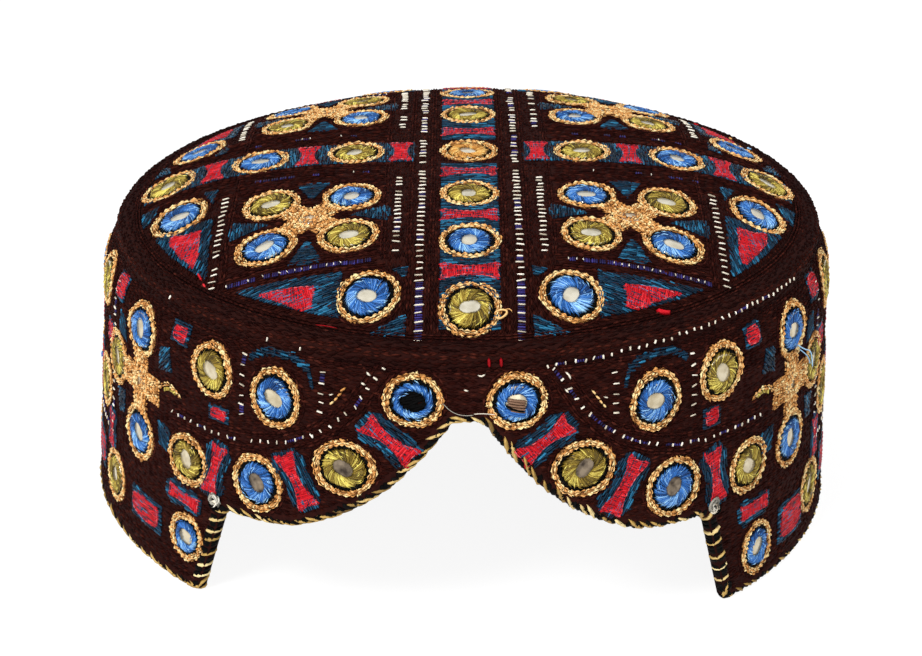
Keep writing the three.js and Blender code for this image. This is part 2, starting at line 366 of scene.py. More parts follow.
end_distance = 0.01  # the ends of a strip that meet this closely are sewn together
reshape(roll_cloth, roll_shape)
work_whole(bpy.ops.mesh.remove_doubles, threshold=end_distance * mm)
thicken(roll_cloth, cloth_thickness)
close_piece(roll_cloth, "roll_cloth", roll_material, "roll_cloth", "crown_roll")

# The side band is one stiff strip of the same cloth, bent round and joined at the back. Its lower
# edge is cut in two scallops and a notch over the brow, with a flap beside each temple.
front_edge = {
    "angle": [0, 2, 6.2, 10.4, 14.7, 19.2, 24.5, 29, 36.4, 37.4, 41.5],
    "height": [56, 55.8, 47.3, 39.8, 34.2, 29.9, 26.2, 25, 24.4, 22.4, 0],
}
band_columns = 360
band_steps = 16
half_column = 180 / band_columns
edge_cover = 0.9  # the cloth ends this far inside the bound edge


def edge_height(angle):
    """The height of the band's lower edge, angles in degrees from the front."""
    return np.interp(np.abs(angle), front_edge["angle"], front_edge["height"])


def band_shape(x, y, z):
    """The strip bent round the wall, with a column of points at each corner of its edge."""
    angle = x * 360
    for corner in front_edge["angle"][1:]:
        near = np.abs(np.abs(angle) - corner) <= half_column
        angle = np.where(near, np.sign(angle) * corner, angle)
    start = edge_height(angle) + edge_cover
    height = start + (side_band_top + piece_gap - start) * (y + 0.5)
    return wall_surface(np.radians(angle) * wall_top_radius, height)


bpy.ops.object.select_all(action="DESELECT")
bpy.ops.mesh.primitive_grid_add(x_subdivisions=band_columns, y_subdivisions=band_steps, size=1)
band_cloth = bpy.context.object
reshape(band_cloth, band_shape)
work_whole(bpy.ops.mesh.remove_doubles, threshold=end_distance * mm)
thicken(band_cloth, cloth_thickness)
close_piece(band_cloth, "band_cloth", maroon_cloth, "embroidered_cloth", "side_band")

# The mirrors are small round discs of thin silvered glass, cut by hand and laid on the cloth. One is
# modelled and copied to every medallion. On the band one is lost, one broken and some are tarnished.
def mirror_material(name, dark, light, roughness):
    """Old silvering, a little cloudy and scratched, on glass that isn't quite flat; its warm beige is
    partly painted reflection.
    """
    material, wire = start_material(name)
    place = wire.node("TexCoord", {}, {}, "Object")
    cloud = wire.node("TexNoise", {}, {"Vector": place, "Scale": 420.0, "Detail": 4.0})
    wave = wire.node("TexNoise", {}, {"Vector": place, "Scale": 120.0, "Detail": 1.0})
    stops = [(0.36, tint(dark)), (0.62, tint(light))]
    shown = wire.node("ValToRGB", {"stops": stops}, {"Fac": cloud})
    bump = wire.node("Bump", {}, {"Strength": 0.25, "Distance": 0.0004, "Height": wave})
    sockets = {"Base Color": shown, "Roughness": roughness + cloud * 0.12}
    sockets.update({"Normal": bump, "Metallic": 0.6})
    end_material(wire, wire.node("BsdfPrincipled", {}, sockets))
    return material


# The beige colours are partly painted reflection of the pale surroundings. They are darker for the
# band's upright mirrors than for the crown's.
crown_glass = mirror_material("crown_glass", "d6ceb8", "efe8d4", 0.12)
band_glass = mirror_material("band_glass", "b4a688", "d2c6aa", 0.12)
tarnished_glass = mirror_material("tarnished_glass", "352a20", "8c7c68", 0.3)
mirror_radius = 4.5
flower_mirror_radius = 2.6
mirror_depth = 0.8
mirror_proud = 0.3
mirror_sides = 20
mirror_bevel = 0.12
rim_share = 2.75  # a mirror ends this far inside its rope

# Medallions of the crown: x, y, half the width and the height of the rope, and the satin's colour.
crown_medallions = [(0, 0, 7.4, 7.5, "gold")]
for step, wide, high, colour, back_colour in (
    (27.9, 7.4, 7.5, "olive", "olive"),
    (51.5, 7.4, 7.6, "blue", "blue"),
    (74.4, 7.1, 8.0, "olive", "blue"),
):
    for x, y in ((0, -step), (-step, 0), (step, 0)):
        crown_medallions.append((x, y, wide, high, colour))
    crown_medallions.append((0, step, wide, high, back_colour))
flower_centre = 37.2
flower_arm = 9.5
corner_far = 69.1
corner_near = 22.4
quarters = [(-1, -1), (1, -1), (-1, 1), (1, 1)]
for sx, sy in quarters:
    near, far = flower_centre - flower_arm, flower_centre + flower_arm
    crown_medallions.append((sx * near, sy * near, 7.3, 7.4, "blue"))
    crown_medallions.append((sx * far, sy * near, 7.2, 7.6, "olive"))
    crown_medallions.append((sx * near, sy * far, 7.3, 7.3, "olive"))
    crown_medallions.append((sx * far, sy * far, 7.4, 7.2, "blue"))
    crown_medallions.append((sx * corner_near, sy * corner_far, 7.4, 8.0, "blue"))
    crown_medallions.append((sx * corner_far, sy * corner_near, 7.1, 8.2, "blue"))
crown_flowers = [(sx * flower_centre, sy * flower_centre) for sx, sy in quarters]


def at(angle, height):
    """A place on the band's pattern, from degrees round it and millimetres up."""
    return math.radians(angle) * wall_top_radius, height


# Medallions of the band's front, as sewn: degrees from the front, height, half the width and the
# height of the rope, and the satin's colour. The rest repeats flowers and panels round the back.
front_medallions = [
    (-7.7, 60.5, 7.0, 6.3, "blue"),
    (6.7, 60.4, 7.0, 6.5, "blue"),
    (-17.2, 42.9, 7.6, 7.1, "olive"),
    (16.4, 43.4, 7.6, 7.1, "olive"),
    (-30.8, 34.5, 6.9, 7.4, "blue"),
    (30.7, 34.4, 7.6, 7.5, "blue"),
    (-44.3, 33.2, 7.2, 6.7, "olive"),
    (45.6, 32.2, 7.0, 7.0, "olive"),
    (-28.1, 56.4, 6.8, 7.4, "blue"),
    (27.3, 56.3, 6.9, 7.3, "blue"),
    (-39.6, 58.3, 6.5, 7.1, "olive"),
    (39.1, 58.3, 7.0, 7.1, "olive"),
    (-44.1, 12.9, 5.9, 6.5, "blue"),
    (48.3, 9.8, 6.1, 7.0, "blue"),
]
lost_mirror = front_medallions[0]
tarnished_mirrors = front_medallions[2:6]
band_flowers = (57.2, 118.7, 180)
band_flower_height = 45.6
band_flower_side = 9.3
band_flower_top = 13.3
band_flower_bottom = 13.8
band_panels = (88, 149.4)
panel_medallions = [(0, 57, "blue"), (12, 60, "olive"), (0, 35, "blue"), (14, 34, "olive")]
rim_row = 66.3 + 22.74 * np.arange(6)  # its last medallion is at the middle of the back
rim_row_height = 13.1

band_seats = list(front_medallions)
band_flower_centres = []


def seat(angle, height, colour, wide=7.2, high=7.2):
    """Adds a medallion to the band."""
    band_seats.append((angle, height, wide, high, colour))


# The flower at the middle of the back is worked once, with an arm to each side. The inner arm of the
# front flowers is covered.
for side in (-1, 1):
    for turn in band_flowers:
        if turn < 180 or side > 0:
            band_flower_centres.append(side * turn)
            seat(side * turn, band_flower_height + band_flower_top, "blue", 7.3, 6.9)
            seat(side * turn, band_flower_height - band_flower_bottom, "blue", 7.3)
        if turn > band_flowers[0]:
            seat(side * (turn - band_flower_side), band_flower_height, "olive")
        if turn < 180:
            seat(side * (turn + band_flower_side), band_flower_height, "olive")
    for turn in band_panels:
        for offset, height, colour in panel_medallions:
            seat(side * (turn + offset), height, colour)
            if offset:
                seat(side * (turn - offset), height, colour)
    for number, turn in enumerate(rim_row):
        if number < len(rim_row) - 1 or side > 0:
            seat(side * turn, rim_row_height, "blue" if number % 2 else "olive")
band_medallions = [(*at(angle, height), *rest) for angle, height, *rest in band_seats]
lost_medallion = band_medallions[band_seats.index(lost_mirror)]

bpy.ops.object.select_all(action="DESELECT")
bpy.ops.mesh.primitive_cylinder_add(
    vertices=mirror_sides, radius=mirror_radius * mm, depth=mirror_depth * mm
)
model_mirror = bpy.context.object
work_whole(bpy.ops.mesh.bevel, offset=mirror_bevel * mm, segments=1)


def lay_mirror(surface, u, v, radius=mirror_radius):
    """A copy of the mirror that lies on a surface, its place in its mesh."""
    middle, normal = lifted(surface, u, v, mirror_proud - mirror_depth / 2)
    turn = Vector(normal).to_track_quat("Z", "Y").to_matrix().to_4x4()
    scale = radius / mirror_radius
    shape = Matrix.Translation(Vector(middle)) @ turn @ Matrix.Diagonal((scale, scale, 1, 1))
    copy = bpy.data.objects.new("mirror", model_mirror.data.copy())
    copy.data.transform(shape)
    bpy.context.collection.objects.link(copy)
    return copy


def join_pieces(pieces):
    """Makes one piece of several."""
    bpy.ops.object.select_all(action="DESELECT")
    for piece in pieces:
        piece.select_set(True)
    bpy.context.view_layer.objects.active = pieces[0]
    bpy.ops.object.join()
    return pieces[0]


crown_mirrors = [lay_mirror(crown_surface, x, y) for x, y, *_ in crown_medallions]
for x, y in crown_flowers:
    crown_mirrors.append(lay_mirror(crown_surface, x, y, flower_mirror_radius))
bright = []
tarnished = []
for place, (u, v, wide, high, _) in zip(band_seats, band_medallions):
    if place != lost_mirror:
        radius = min(mirror_radius, min(wide, high) - rim_share)
        group = tarnished if place in tarnished_mirrors else bright
        group.append(lay_mirror(wall_surface, u, v, radius))
for angle in band_flower_centres:
    u, v = at(angle, band_flower_height)
    bright.append(lay_mirror(wall_surface, u, v, flower_mirror_radius))
bpy.data.objects.remove(model_mirror)
mirror_names = ("crown_mirror", "flower_", "corner_")
crown_nodes = [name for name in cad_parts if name.startswith(mirror_names)]
close_piece(join_pieces(crown_mirrors), "crown_mirrors", crown_glass, "mirror_glass", *crown_nodes)
close_piece(join_pieces(bright), "band_mirrors", band_glass, "mirror_glass")
close_piece(join_pieces(tarnished), "band_mirrors_tarnished", tarnished_glass, "mirror_glass")

# The ground between the motifs is packed with short maroon stitches in rows, worked over the
# cloth by hand. They run along the strips of the crown, and round the band and the roll.
def thread_mesh(surface, paths, lift, half_width, height, shade):
    """Stitches as closed threads, pointed at both ends: paths in the surface's own millimetres."""
    count, steps, _ = paths.shape
    lift = np.broadcast_to(lift, (count, steps))
    half_width = np.broadcast_to(half_width, (count, steps))[..., None] * mm
    height = np.broadcast_to(height, (count, steps))[..., None] * mm
    centre, normal = lifted(surface, paths[..., 0], paths[..., 1], lift)
    return thread_body(centre, normal, half_width, height, shade)


def thread_body(centre, normal, half_width, height, shade):
    """The same from places in metres, with the way that each thread's back faces."""
    count, steps, _ = centre.shape
    travel = np.gradient(centre, axis=1)
    side = np.cross(normal, travel)
    side /= np.maximum(np.linalg.norm(side, axis=-1, keepdims=True), 1e-12)
    across = side * half_width
    body = slice(1, steps - 1)
    rings = np.stack([centre + across, centre + normal * height, centre - across], axis=2)
    rings = rings[:, body].reshape(count, 3 * (steps - 2), 3)
    points = np.concatenate([centre[:, :1], rings, centre[:, -1:]], axis=1)
    last = points.shape[1] - 1
    faces = []
    for here, there in ((0, 1), (1, 2), (2, 0)):
        faces.append((0, 1 + there, 1 + here))
        faces.append((last - 3 + here, last - 3 + there, last))
        for ring in range(steps - 3):
            a, b = 1 + 3 * ring + here, 1 + 3 * ring + there
            faces.append((a, b, b + 3))
            faces.append((a, b + 3, a + 3))
    faces = np.array(faces)[None] + (np.arange(count) * (last + 1))[:, None, None]
    length = np.cumsum(np.linalg.norm(np.diff(centre, axis=1), axis=-1), axis=1) / mm
    length = np.concatenate([np.zeros((count, 1)), length], axis=1)
    length = length + rng.uniform(0, 50, (count, 1))  # each stitch shows another stretch of the fibre
    middle_lengths = np.repeat(length[:, body], 3, axis=1)
    run = np.concatenate([length[:, :1], middle_lengths, length[:, -1:]], axis=1)
    turn = np.concatenate([[0.5], np.tile([0, 0.5, 1], steps - 2), [0.5]])
    runs = np.stack([run, np.broadcast_to(turn, run.shape)], axis=-1)
    shade = np.broadcast_to(np.asarray(shade).reshape(-1, 1), run.shape)
    return points.reshape(-1, 3), faces.reshape(-1, 3), shade.ravel(), runs.reshape(-1, 2)


def thread_piece(name, batches, material, slot="embroidered_cloth"):
    """One piece of many stitches, each with its own shade and its run along the thread."""
    points, faces, shade, runs = zip(*batches)
    starts = np.cumsum([0] + [len(part) for part in points[:-1]])
    faces = np.concatenate([part + start for part, start in zip(faces, starts)])
    points, shade, runs = np.concatenate(points), np.concatenate(shade), np.concatenate(runs)
    mesh = bpy.data.meshes.new(name)
    mesh.vertices.add(len(points))
    mesh.vertices.foreach_set("co", points.ravel())
    mesh.loops.add(faces.size)
    mesh.loops.foreach_set("vertex_index", faces.ravel())
    mesh.polygons.add(len(faces))
    mesh.polygons.foreach_set("loop_start", np.arange(0, faces.size, 3))
    mesh.update(calc_edges=True)
    mesh.attributes.new("shade", "FLOAT", "POINT").data.foreach_set("value", shade.astype(np.float32))
    mesh.uv_layers.new(name="thread").data.foreach_set("uv", runs[faces.ravel()].ravel())
    piece = bpy.data.objects.new(name, mesh)
    bpy.context.collection.objects.link(piece)
    close_piece(piece, name, material, slot)


def thread_material(name, dark, middle, light, roughness, shine):
    """Dyed thread: each stitch has its own shade, with finer fibres drawn out along it."""
    material, wire = start_material(name)
    run = wire.node("UVMap", {"uv_map": "thread"}, {})
    drawn = wire.node("Mapping", {}, {"Vector": run, "Scale": (0.7, 3.5, 1)})
    fibre = wire.node("TexNoise", {}, {"Vector": drawn, "Scale": 1.6, "Detail": 3.0})
    shade = wire.node("Attribute", {"attribute_name": "shade"}, {}, "Fac")
    amount = shade * 0.72 + fibre * 0.56 - 0.14
    stops = [(0.05, tint(dark)), (0.5, tint(middle)), (0.95, tint(light))]
    colour = wire.node("ValToRGB", {"stops": stops}, {"Fac": amount})
    bump = wire.node("Bump", {}, {"Strength": 0.35, "Distance": 0.0002, "Height": fibre})
    sockets = {"Base Color": colour, "Roughness": roughness - fibre * 0.15, "Normal": bump}
    sockets["Specular IOR Level"] = shine
    end_material(wire, wire.node("BsdfPrincipled", {}, sockets))
    return material


def turned(points, angle):
    """Points turned about the pattern's middle by an angle in degrees."""
    c, s = math.cos(math.radians(angle)), math.sin(math.radians(angle))
    return np.asarray(points) @ np.array([[c, s], [-s, c]])


def rows(outline, angle, spacing, length, jitter=0.16):
    """Stitches laid in rows across an outline, along an angle, broken at uneven places."""
    shortest = 0.25 * length
    corners = turned(outline, -angle)
    ends = np.roll(corners, -1, axis=0)
    stitches = []
    for row in np.arange(corners[:, 1].min() + spacing / 2, corners[:, 1].max(), spacing):
        crossed = (corners[:, 1] > row) != (ends[:, 1] > row)
        a, b = corners[crossed], ends[crossed]
        cuts = np.sort(a[:, 0] + (row - a[:, 1]) * (b[:, 0] - a[:, 0]) / (b[:, 1] - a[:, 1]))
        for start, stop in zip(cuts[::2], cuts[1::2]):
            if stop - start < shortest:
                continue
            marks = np.arange(start + rng.uniform(0.25, 1) * length, stop, length)
            marks = marks + rng.uniform(-0.2, 0.2, len(marks)) * length
            marks = np.concatenate([[start], marks, [stop]])
            marks = marks[np.concatenate([[True], np.diff(marks) > length * 0.2])]
            for first, second in zip(marks[:-1], marks[1:]):
                stitches.append((first, second, row))
    if not stitches:
        return np.zeros((0, 3, 2))
    first, second, row = np.array(stitches).T
    tilt = rng.normal(0, jitter, (2, len(row)))
    overlap = 0.12 * length
    x = np.stack([first - overlap, (first + second) / 2, second + overlap], axis=1)
    y = np.stack([row + tilt[0], row + tilt.mean(0), row + tilt[1]], axis=1)
    return turned(np.stack([x, y], axis=-1), angle)


def outside(paths, circles):
    """Keeps the stitches whose middles lie clear of round places: x, y and radius."""
    middle = (paths[:, 0] + paths[:, -1]) / 2
    keep = np.ones(len(paths), bool)
    for x, y, radius in circles:
        keep &= np.hypot(middle[:, 0] - x, middle[:, 1] - y) > radius
    return paths[keep]


ground_spacing = 0.68
ground_length = 2.2
ground_width = 0.36
ground_height = 0.26
rope_cover = 0.8  # the stitches run this far under the ropes
crown_circles = [(x, y, min(wide, high) - rope_cover) for x, y, wide, high, _ in crown_medallions]
band_circles = [(x, y, min(wide, high) - rope_cover) for x, y, wide, high, _ in band_medallions]
maroon_thread = thread_material("maroon_thread", "100202", "280a06", "4a2017", 0.9, 0.04)


def shades(middle, scatter, count):
    """A shade for each stitch, dark at 0 and light at 1, about a middle one."""
    return np.clip(middle + rng.normal(0, scatter, count), 0, 1)


def ground(surface, paths):
    """Ground stitches on a surface, all a little different."""
    count = len(paths)
    width = ground_width * rng.uniform(0.7, 1.4, (count, 1))
    height = ground_height * rng.uniform(0.5, 1.5, (count, 1))
    lift = rng.uniform(-0.1, 0.08, (count, 1))
    return thread_mesh(surface, paths, lift, width, height, shades(0.42, 0.22, count))


strip_zone = 20  # the rows run to the back in the middle strip, and beside the flowers' squares
outer_zone = (55, 58)


def lengthwise(paths):
    """Whether a stitch of the crown lies where the rows run from front to back."""
    x, y = np.abs(paths[:, 1, 0]), np.abs(paths[:, 1, 1])
    return (x < strip_zone) | ((x > outer_zone[0]) & (y > strip_zone) & (y < outer_zone[1]))


panel_radius = crown_panel_radius - 0.8
turns = np.linspace(0, full_turn, 72, endpoint=False)
panel = np.stack([panel_radius * np.cos(turns), panel_radius * np.sin(turns) - pattern_shift], axis=1)
to_back = rows(panel, 90, ground_spacing, ground_length)
across = rows(panel, 0, ground_spacing, ground_length)
crown_rows = np.concatenate([to_back[lengthwise(to_back)], across[~lengthwise(across)]])
crown_rows = outside(crown_rows, crown_circles)
thread_piece("crown_ground", [ground(crown_surface, crown_rows)], maroon_thread)


def box_outline(left, right, low, high):
    """The corners of a box."""
    return [(left, low), (right, low), (right, high), (left, high)]


def roll_share(climb):
    """How far across the roll a place lies, from 0 at the wall to 1 at the crown."""
    return np.clip((climb - roll_low) / (roll_high - roll_low), 0, 1)


# The roll's stitches sit on its full round, with a painted highlight: they are lighter along its crest
# and darker to either side.
half_round = wall_round / 2
painted_highlight_place = 0.38
painted_highlight_width = 0.12
roll_outline = box_outline(-half_round, half_round, roll_low, roll_high)
roll_rows = rows(roll_outline, 0, 0.66, ground_length, 0.25)
share = roll_share(roll_rows[..., 1])
painted_crest_highlight = np.exp(-(((share[:, 1] - painted_highlight_place) / painted_highlight_width) ** 2))
shade = shades(0.14 + 0.62 * painted_crest_highlight, 0.2, len(roll_rows))
height = ground_height * rng.uniform(0.6, 1.6, (len(roll_rows), 1))
roll_batch = thread_mesh(shoulder_surface, roll_rows, fullness(share), ground_width, height, shade)
thread_piece("roll_ground", [roll_batch], maroon_thread)

band_outline = box_outline(-half_round, half_round, 0, side_band_top + 0.4)
band_rows = outside(rows(band_outline, 0, ground_spacing, ground_length), band_circles)
clear_of_edge = 1.9


def above_edge(place, clear):
    """Whether places on the band lie above its lower edge by a clear distance."""
    keep = place[:, 1] > clear
    for offset in (-clear, -clear / 2, 0, clear / 2, clear):
        beside = np.degrees((place[:, 0] + offset) / wall_top_radius)
        keep &= place[:, 1] > edge_height(beside) + math.sqrt(clear**2 - offset**2)
    return keep


band_rows = band_rows[above_edge(band_rows[:, 1], clear_of_edge)]
for side_name, side in (("left", -1), ("right", 1)):
    chosen = band_rows[np.sign(band_rows[:, 1, 0]) == side]
    thread_piece(f"band_ground_{side_name}", [ground(wall_surface, chosen)], maroon_thread)

# Teal stitching fills the places round the red motifs: along both strips of the crown, at the sides
# of its four flowers, in its corner segments, and in patches beside the band's medallions.
teal_thread = thread_material("teal_thread", "020f1a", "0b3048", "2c7ea6", 0.5, 0.15)
strip_half = 6.6
segment_radius = 80.2
fill_spacing = 0.54
fill_length = 2.1


def blunt(paths):
    """The same stitches with short tips in place of long points."""
    first, last = paths[:, 0], paths[:, -1]
    reach = (last - first) * 0.12
    return np.stack([first, first + reach, last - reach, last], axis=1)


def mottle(places, size=3.2):
    """Slow uneven changes over the cloth, from -1 to 1."""
    u, v = places[:, 0] / size, places[:, 1] / size
    return (np.sin(u * 1.7 + 1.3 * np.sin(v * 1.1)) + np.sin(v * 2.1 + 1.7 * np.sin(u * 0.9))) / 2


def fill(surface, outline, angle, circles, length=fill_length):
    """An outline filled with stitches, as a batch for a thread piece: a bed and a top layer."""
    layers = []
    for layer_angle, spacing, half_width, lift, shade_middle, shade_spread in (
        (angle + 8, 0.9, 0.75, 0.0, 0.14, 0.1),
        (angle, fill_spacing, 0.28, 0.14, 0.36, 0.3),
    ):
        paths = outside(rows(outline, layer_angle, spacing, length, 0.14), circles)
        if surface is wall_surface and len(paths):
            paths = paths[above_edge((paths[:, 0] + paths[:, -1]) / 2, clear_of_edge)]
        if not len(paths):
            continue
        if layer_angle == angle:
            paths = blunt(paths)
        count = len(paths)
        width = half_width * rng.uniform(0.75, 1.3, (count, 1))
        height = 0.2 * rng.uniform(0.6, 1.4, (count, 1))
        rise = lift + rng.uniform(-0.06, 0.08, (count, 1))
        shade = shades(shade_middle + 0.22 * mottle(paths[:, 1]), shade_spread, count)
        layers.append(thread_mesh(surface, paths, rise, width, height, shade))
    return layers


def mirrored(outline, sx, sy):
    """An outline turned over to another quarter of the pattern."""
    return [(sx * x, sy * y) for x, y in outline]


def arc(radius, start, stop):
    """Points of an arc about the panel's middle, angles in degrees from +x."""
    angles = np.radians(np.linspace(start, stop, 9))
    return list(zip(radius * np.cos(angles), radius * np.sin(angles) - pattern_shift))


segment_near = 13.8
segment_far = 60.6
start_angle = math.degrees(math.asin(segment_far / segment_radius))
segment_inner = 28.6
stop_angle = math.degrees(math.acos(segment_inner / segment_radius))
end_segment = [(segment_inner, segment_far), *arc(segment_radius, start_angle, stop_angle)]
side_segment = [(y, x) for x, y in end_segment]
end_wedges = [
    [(segment_near, 75.4), (22.0, 79.6), (segment_near + 0.4, 81.2)],
    [(segment_near, segment_far), (17.4, 61.4), (segment_near + 0.6, 64.6)],
]
side_wedges = [
    [(75.2, 11.6), (79.6, 12.6), (78.4, 20.4), (76.4, 18.6)],
    [(60.8, 13.4), (64.4, 12.6), (61.4, 20.6)],
]
triangle = [(18.2, -3.8), (18.8, 0), (18.2, 3.8), (9.4, 0)]

teal = []
for low, high in ((8.5, 80), (-80, -8.5)):
    teal.extend(fill(crown_surface, box_outline(-strip_half, strip_half, low, high), 0, crown_circles))
for low, high in ((13.4, 80), (-80, -13.4)):
    teal.extend(fill(crown_surface, box_outline(low, high, -strip_half, strip_half), 90, crown_circles))
for sx, sy in quarters:
    for quarter_turn in (0, 90, 180, 270):
        outline = turned(triangle, quarter_turn) + (sx * flower_centre, sy * flower_centre)
        teal.extend(fill(crown_surface, outline, quarter_turn + 90, crown_circles))
    for outline in (end_segment, *end_wedges):
        teal.extend(fill(crown_surface, mirrored(outline, sx, sy), 14 * sx * sy, crown_circles))
    for outline in (side_segment, *side_wedges):
        teal.extend(fill(crown_surface, mirrored(outline, sx, sy), 90 - 14 * sx * sy, crown_circles))


def bow_tie(middle, axis, half_length, half_end, half_waist):
    """The outline of a motif with wide ends and a narrow waist, its axis turned by an angle."""
    half = [(-half_length, half_end), (-half_length * 0.78, half_end * 0.92)]
    half += [(-half_length * 0.5, (half_end + half_waist) * 0.42), (0, half_waist)]
    half += [(-x, y) for x, y in half[2::-1]]
    outline = half + [(half_length * 0.86, 0)] + [(x, -y) for x, y in reversed(half)]
    outline.append((-half_length * 0.86, 0))
    return turned(outline, axis) + middle


# Bow ties of the band's front: degrees from the front, height, the slope of the axis, and half the
# length, the ends and the waist. Then the small bars, with half their width and height.
bow_ties = [
    (-10.9, 50.8, 144, 6.9, 2.6, 0.9),
    (10.7, 50.8, 36, 6.9, 2.6, 0.9),
    (-24.4, 37.6, 120, 7.0, 2.7, 0.9),
    (22.6, 37.4, 60, 7.2, 2.8, 1.1),
    (-38.6, 34.0, 76, 7.0, 2.2, 0.9),
    (38.5, 33.4, 100, 7.0, 2.5, 0.9),
    (-44.9, 22.9, 174, 5.4, 1.9, 1.1),
    (47.4, 20.5, 2, 5.3, 1.9, 1.5),
    (-68.9, 24.2, 90, 5.0, 2.3, 0.9),
    (68.9, 24.2, 90, 5.0, 2.3, 0.9),
]
bars = [
    (-54.6, 12.8, 5.8, 3.0),
    (58.4, 10.6, 5.6, 3.9),
    (-46.9, 63.5, 2.4, 1.6),
    (46.2, 63.4, 2.2, 1.8),
    (-38.0, 48.3, 2.2, 1.2),
    (37.4, 48.3, 1.9, 1.8),
    (-66.9, 63.8, 2.6, 2.4),
    (66.9, 63.8, 2.6, 2.4),
]
for side in (-1, 1):
    for turn in band_panels:
        bow_ties.append((side * turn, 46, 0, 6.6, 2.6, 1.1))
        for offset in (-7.6, 7.6):
            bow_ties.append((side * (turn + offset), 33.5, 90, 6.0, 2.4, 1.0))
        for offset in (-17, 17):
            bars.append((side * (turn + offset), 49, 2.8, 2.4))
    for first, second in zip(rim_row[:-1], rim_row[1:]):
        bars.append((side * (first + second) / 2, rim_row_height, 5.6, 3.4))

# Each red motif lies on a ragged teal patch a little larger than itself.
bar_corners = [(-1, -0.7), (-0.6, -1), (0.7, -1), (1, -0.6)]
bar_corners = np.array(bar_corners + [(1, 0.7), (0.6, 1), (-0.7, 1), (-1, 0.6)])
band_reds = []
for angle, height, slope, half_length, half_end, half_waist in bow_ties:
    place = at(angle, height)
    band_reds.append((bow_tie(place, slope, half_length, half_end, half_waist), slope))
    long, wide = half_length + 0.7, half_end + 1.5
    ragged = rng.uniform(-0.5, 0.5, 8)
    patch = [(-long, -wide + 1.6), (-long * 0.6, -wide), (0, -wide + 0.9)]
    patch += [(long * 0.6, -wide), (long, -wide + 1.6)]
    patch += [(-x, -y) for x, y in patch]
    patch = [(x + ragged[k % 8], y + ragged[k % 5]) for k, (x, y) in enumerate(patch)]
    teal.extend(fill(wall_surface, turned(patch, slope) + place, slope, band_circles))
for angle, height, half_wide, half_high in bars:
    u, v = at(angle, height)
    ends = rng.uniform(0.85, 1.15, (8, 1))
    bar = bar_corners * (half_wide, half_high) * np.where(np.abs(bar_corners) == 1, ends, 1)
    band_reds.append((bar + (u, v), 90))
    edge = 1.1 if half_wide > 3 else 0.7
    left, right = u - half_wide - edge, u + half_wide + edge
    patch = box_outline(left, right, v - half_high - edge, v + half_high + edge)
    teal.extend(fill(wall_surface, patch, 0, band_circles))
flower_patch = [(8.6, 6.6), (13.8, 7.6), (12.8, 13.2), (9.4, 12.6)]
for angle in band_flower_centres:
    for sx, sy in quarters:
        outline = np.array(mirrored(flower_patch, sx, sy)) + at(angle, band_flower_height)
        teal.extend(fill(wall_surface, outline, 45 * sx * sy, band_circles))
teal_arc = [(22.2, 60.5), (23.2, 64.6), (26.2, 66.4), (30.6, 66.4), (33.0, 64.2)]
for side in (-1, 1):
    line = np.array([at(side * angle, height) for angle, height in teal_arc])
    outline = np.concatenate([line + [0, 0.8], (line - [0, 0.8])[::-1]])
    teal.extend(fill(wall_surface, outline, 0, band_circles, 2.0))
thread_piece("teal_fill", teal, teal_thread)

# The red motifs are worked in close satin stitch and edged with one couched pink thread: bow ties
# between the medallions, arrowheads in the crown's corners, and bars along the rim.
red_thread = thread_material("red_thread", "7c0810", "be1420", "ec3e46", 0.5, 0.08)
pink_thread = thread_material("pink_thread", "841420", "c0323e", "e87a7e", 0.6, 0.2)


def smooth(points):
    """A closed line with its corners rounded, by cutting them twice."""
    points = np.asarray(points, float)
    for _ in range(2):
        ahead = np.roll(points, -1, axis=0)
        points = np.stack([points * 0.75 + ahead * 0.25, points * 0.25 + ahead * 0.75], axis=1)
        points = points.reshape(-1, 2)
    return points


def spread(points, pitch, closed=False):
    """Even places along a line, about a pitch apart."""
    points = np.asarray(points, float)
    if closed:
        points = np.concatenate([points, points[:1]])
    run = np.concatenate([[0], np.cumsum(np.hypot(*np.diff(points, axis=0).T))])
    count = max(int(round(run[-1] / pitch)), 1)
    marks = np.linspace(0, run[-1], count + 1)
    return np.stack([np.interp(marks, run, points[:, i]) for i in (0, 1)], axis=1)


def end_to_end(points, overlap=0.25, jitter=0.05):
    """Stitches end to end along places of a line."""
    first, second = points[:-1], points[1:]
    reach = (second - first) * overlap
    middle = (first + second) / 2 + rng.normal(0, jitter, first.shape)
    return np.stack([first - reach, middle, second + reach], axis=1)


red_length = 2.2
red_height = 0.1
pink_pitch = 1.3
red = []
pink = []


def red_motif(surface, outline, angle):
    """One red motif, a wide bed and a fine top layer, with its pink edge."""
    for slant, spacing, half_width, lift, shade_spread in (
        (60, 0.6, 0.62, 0.16, 0.06),
        (92, 0.42, 0.27, 0.26, 0.18),
    ):
        paths = blunt(rows(outline, angle + slant, spacing, red_length, 0.12))
        count = len(paths)
        height = red_height * rng.uniform(0.6, 1.4, (count, 1))
        shade = shades(0.5 + 0.1 * mottle(paths[:, 1], 2.4), shade_spread, count)
        rise = lift + rng.uniform(-0.05, 0.05, (count, 1))
        red.append(thread_mesh(surface, paths, rise, half_width, height, shade))
    edge = end_to_end(spread(smooth(outline), pink_pitch, True))
    pink.append(thread_mesh(surface, edge, 0.36, 0.14, 0.24, shades(0.45, 0.3, len(edge))))


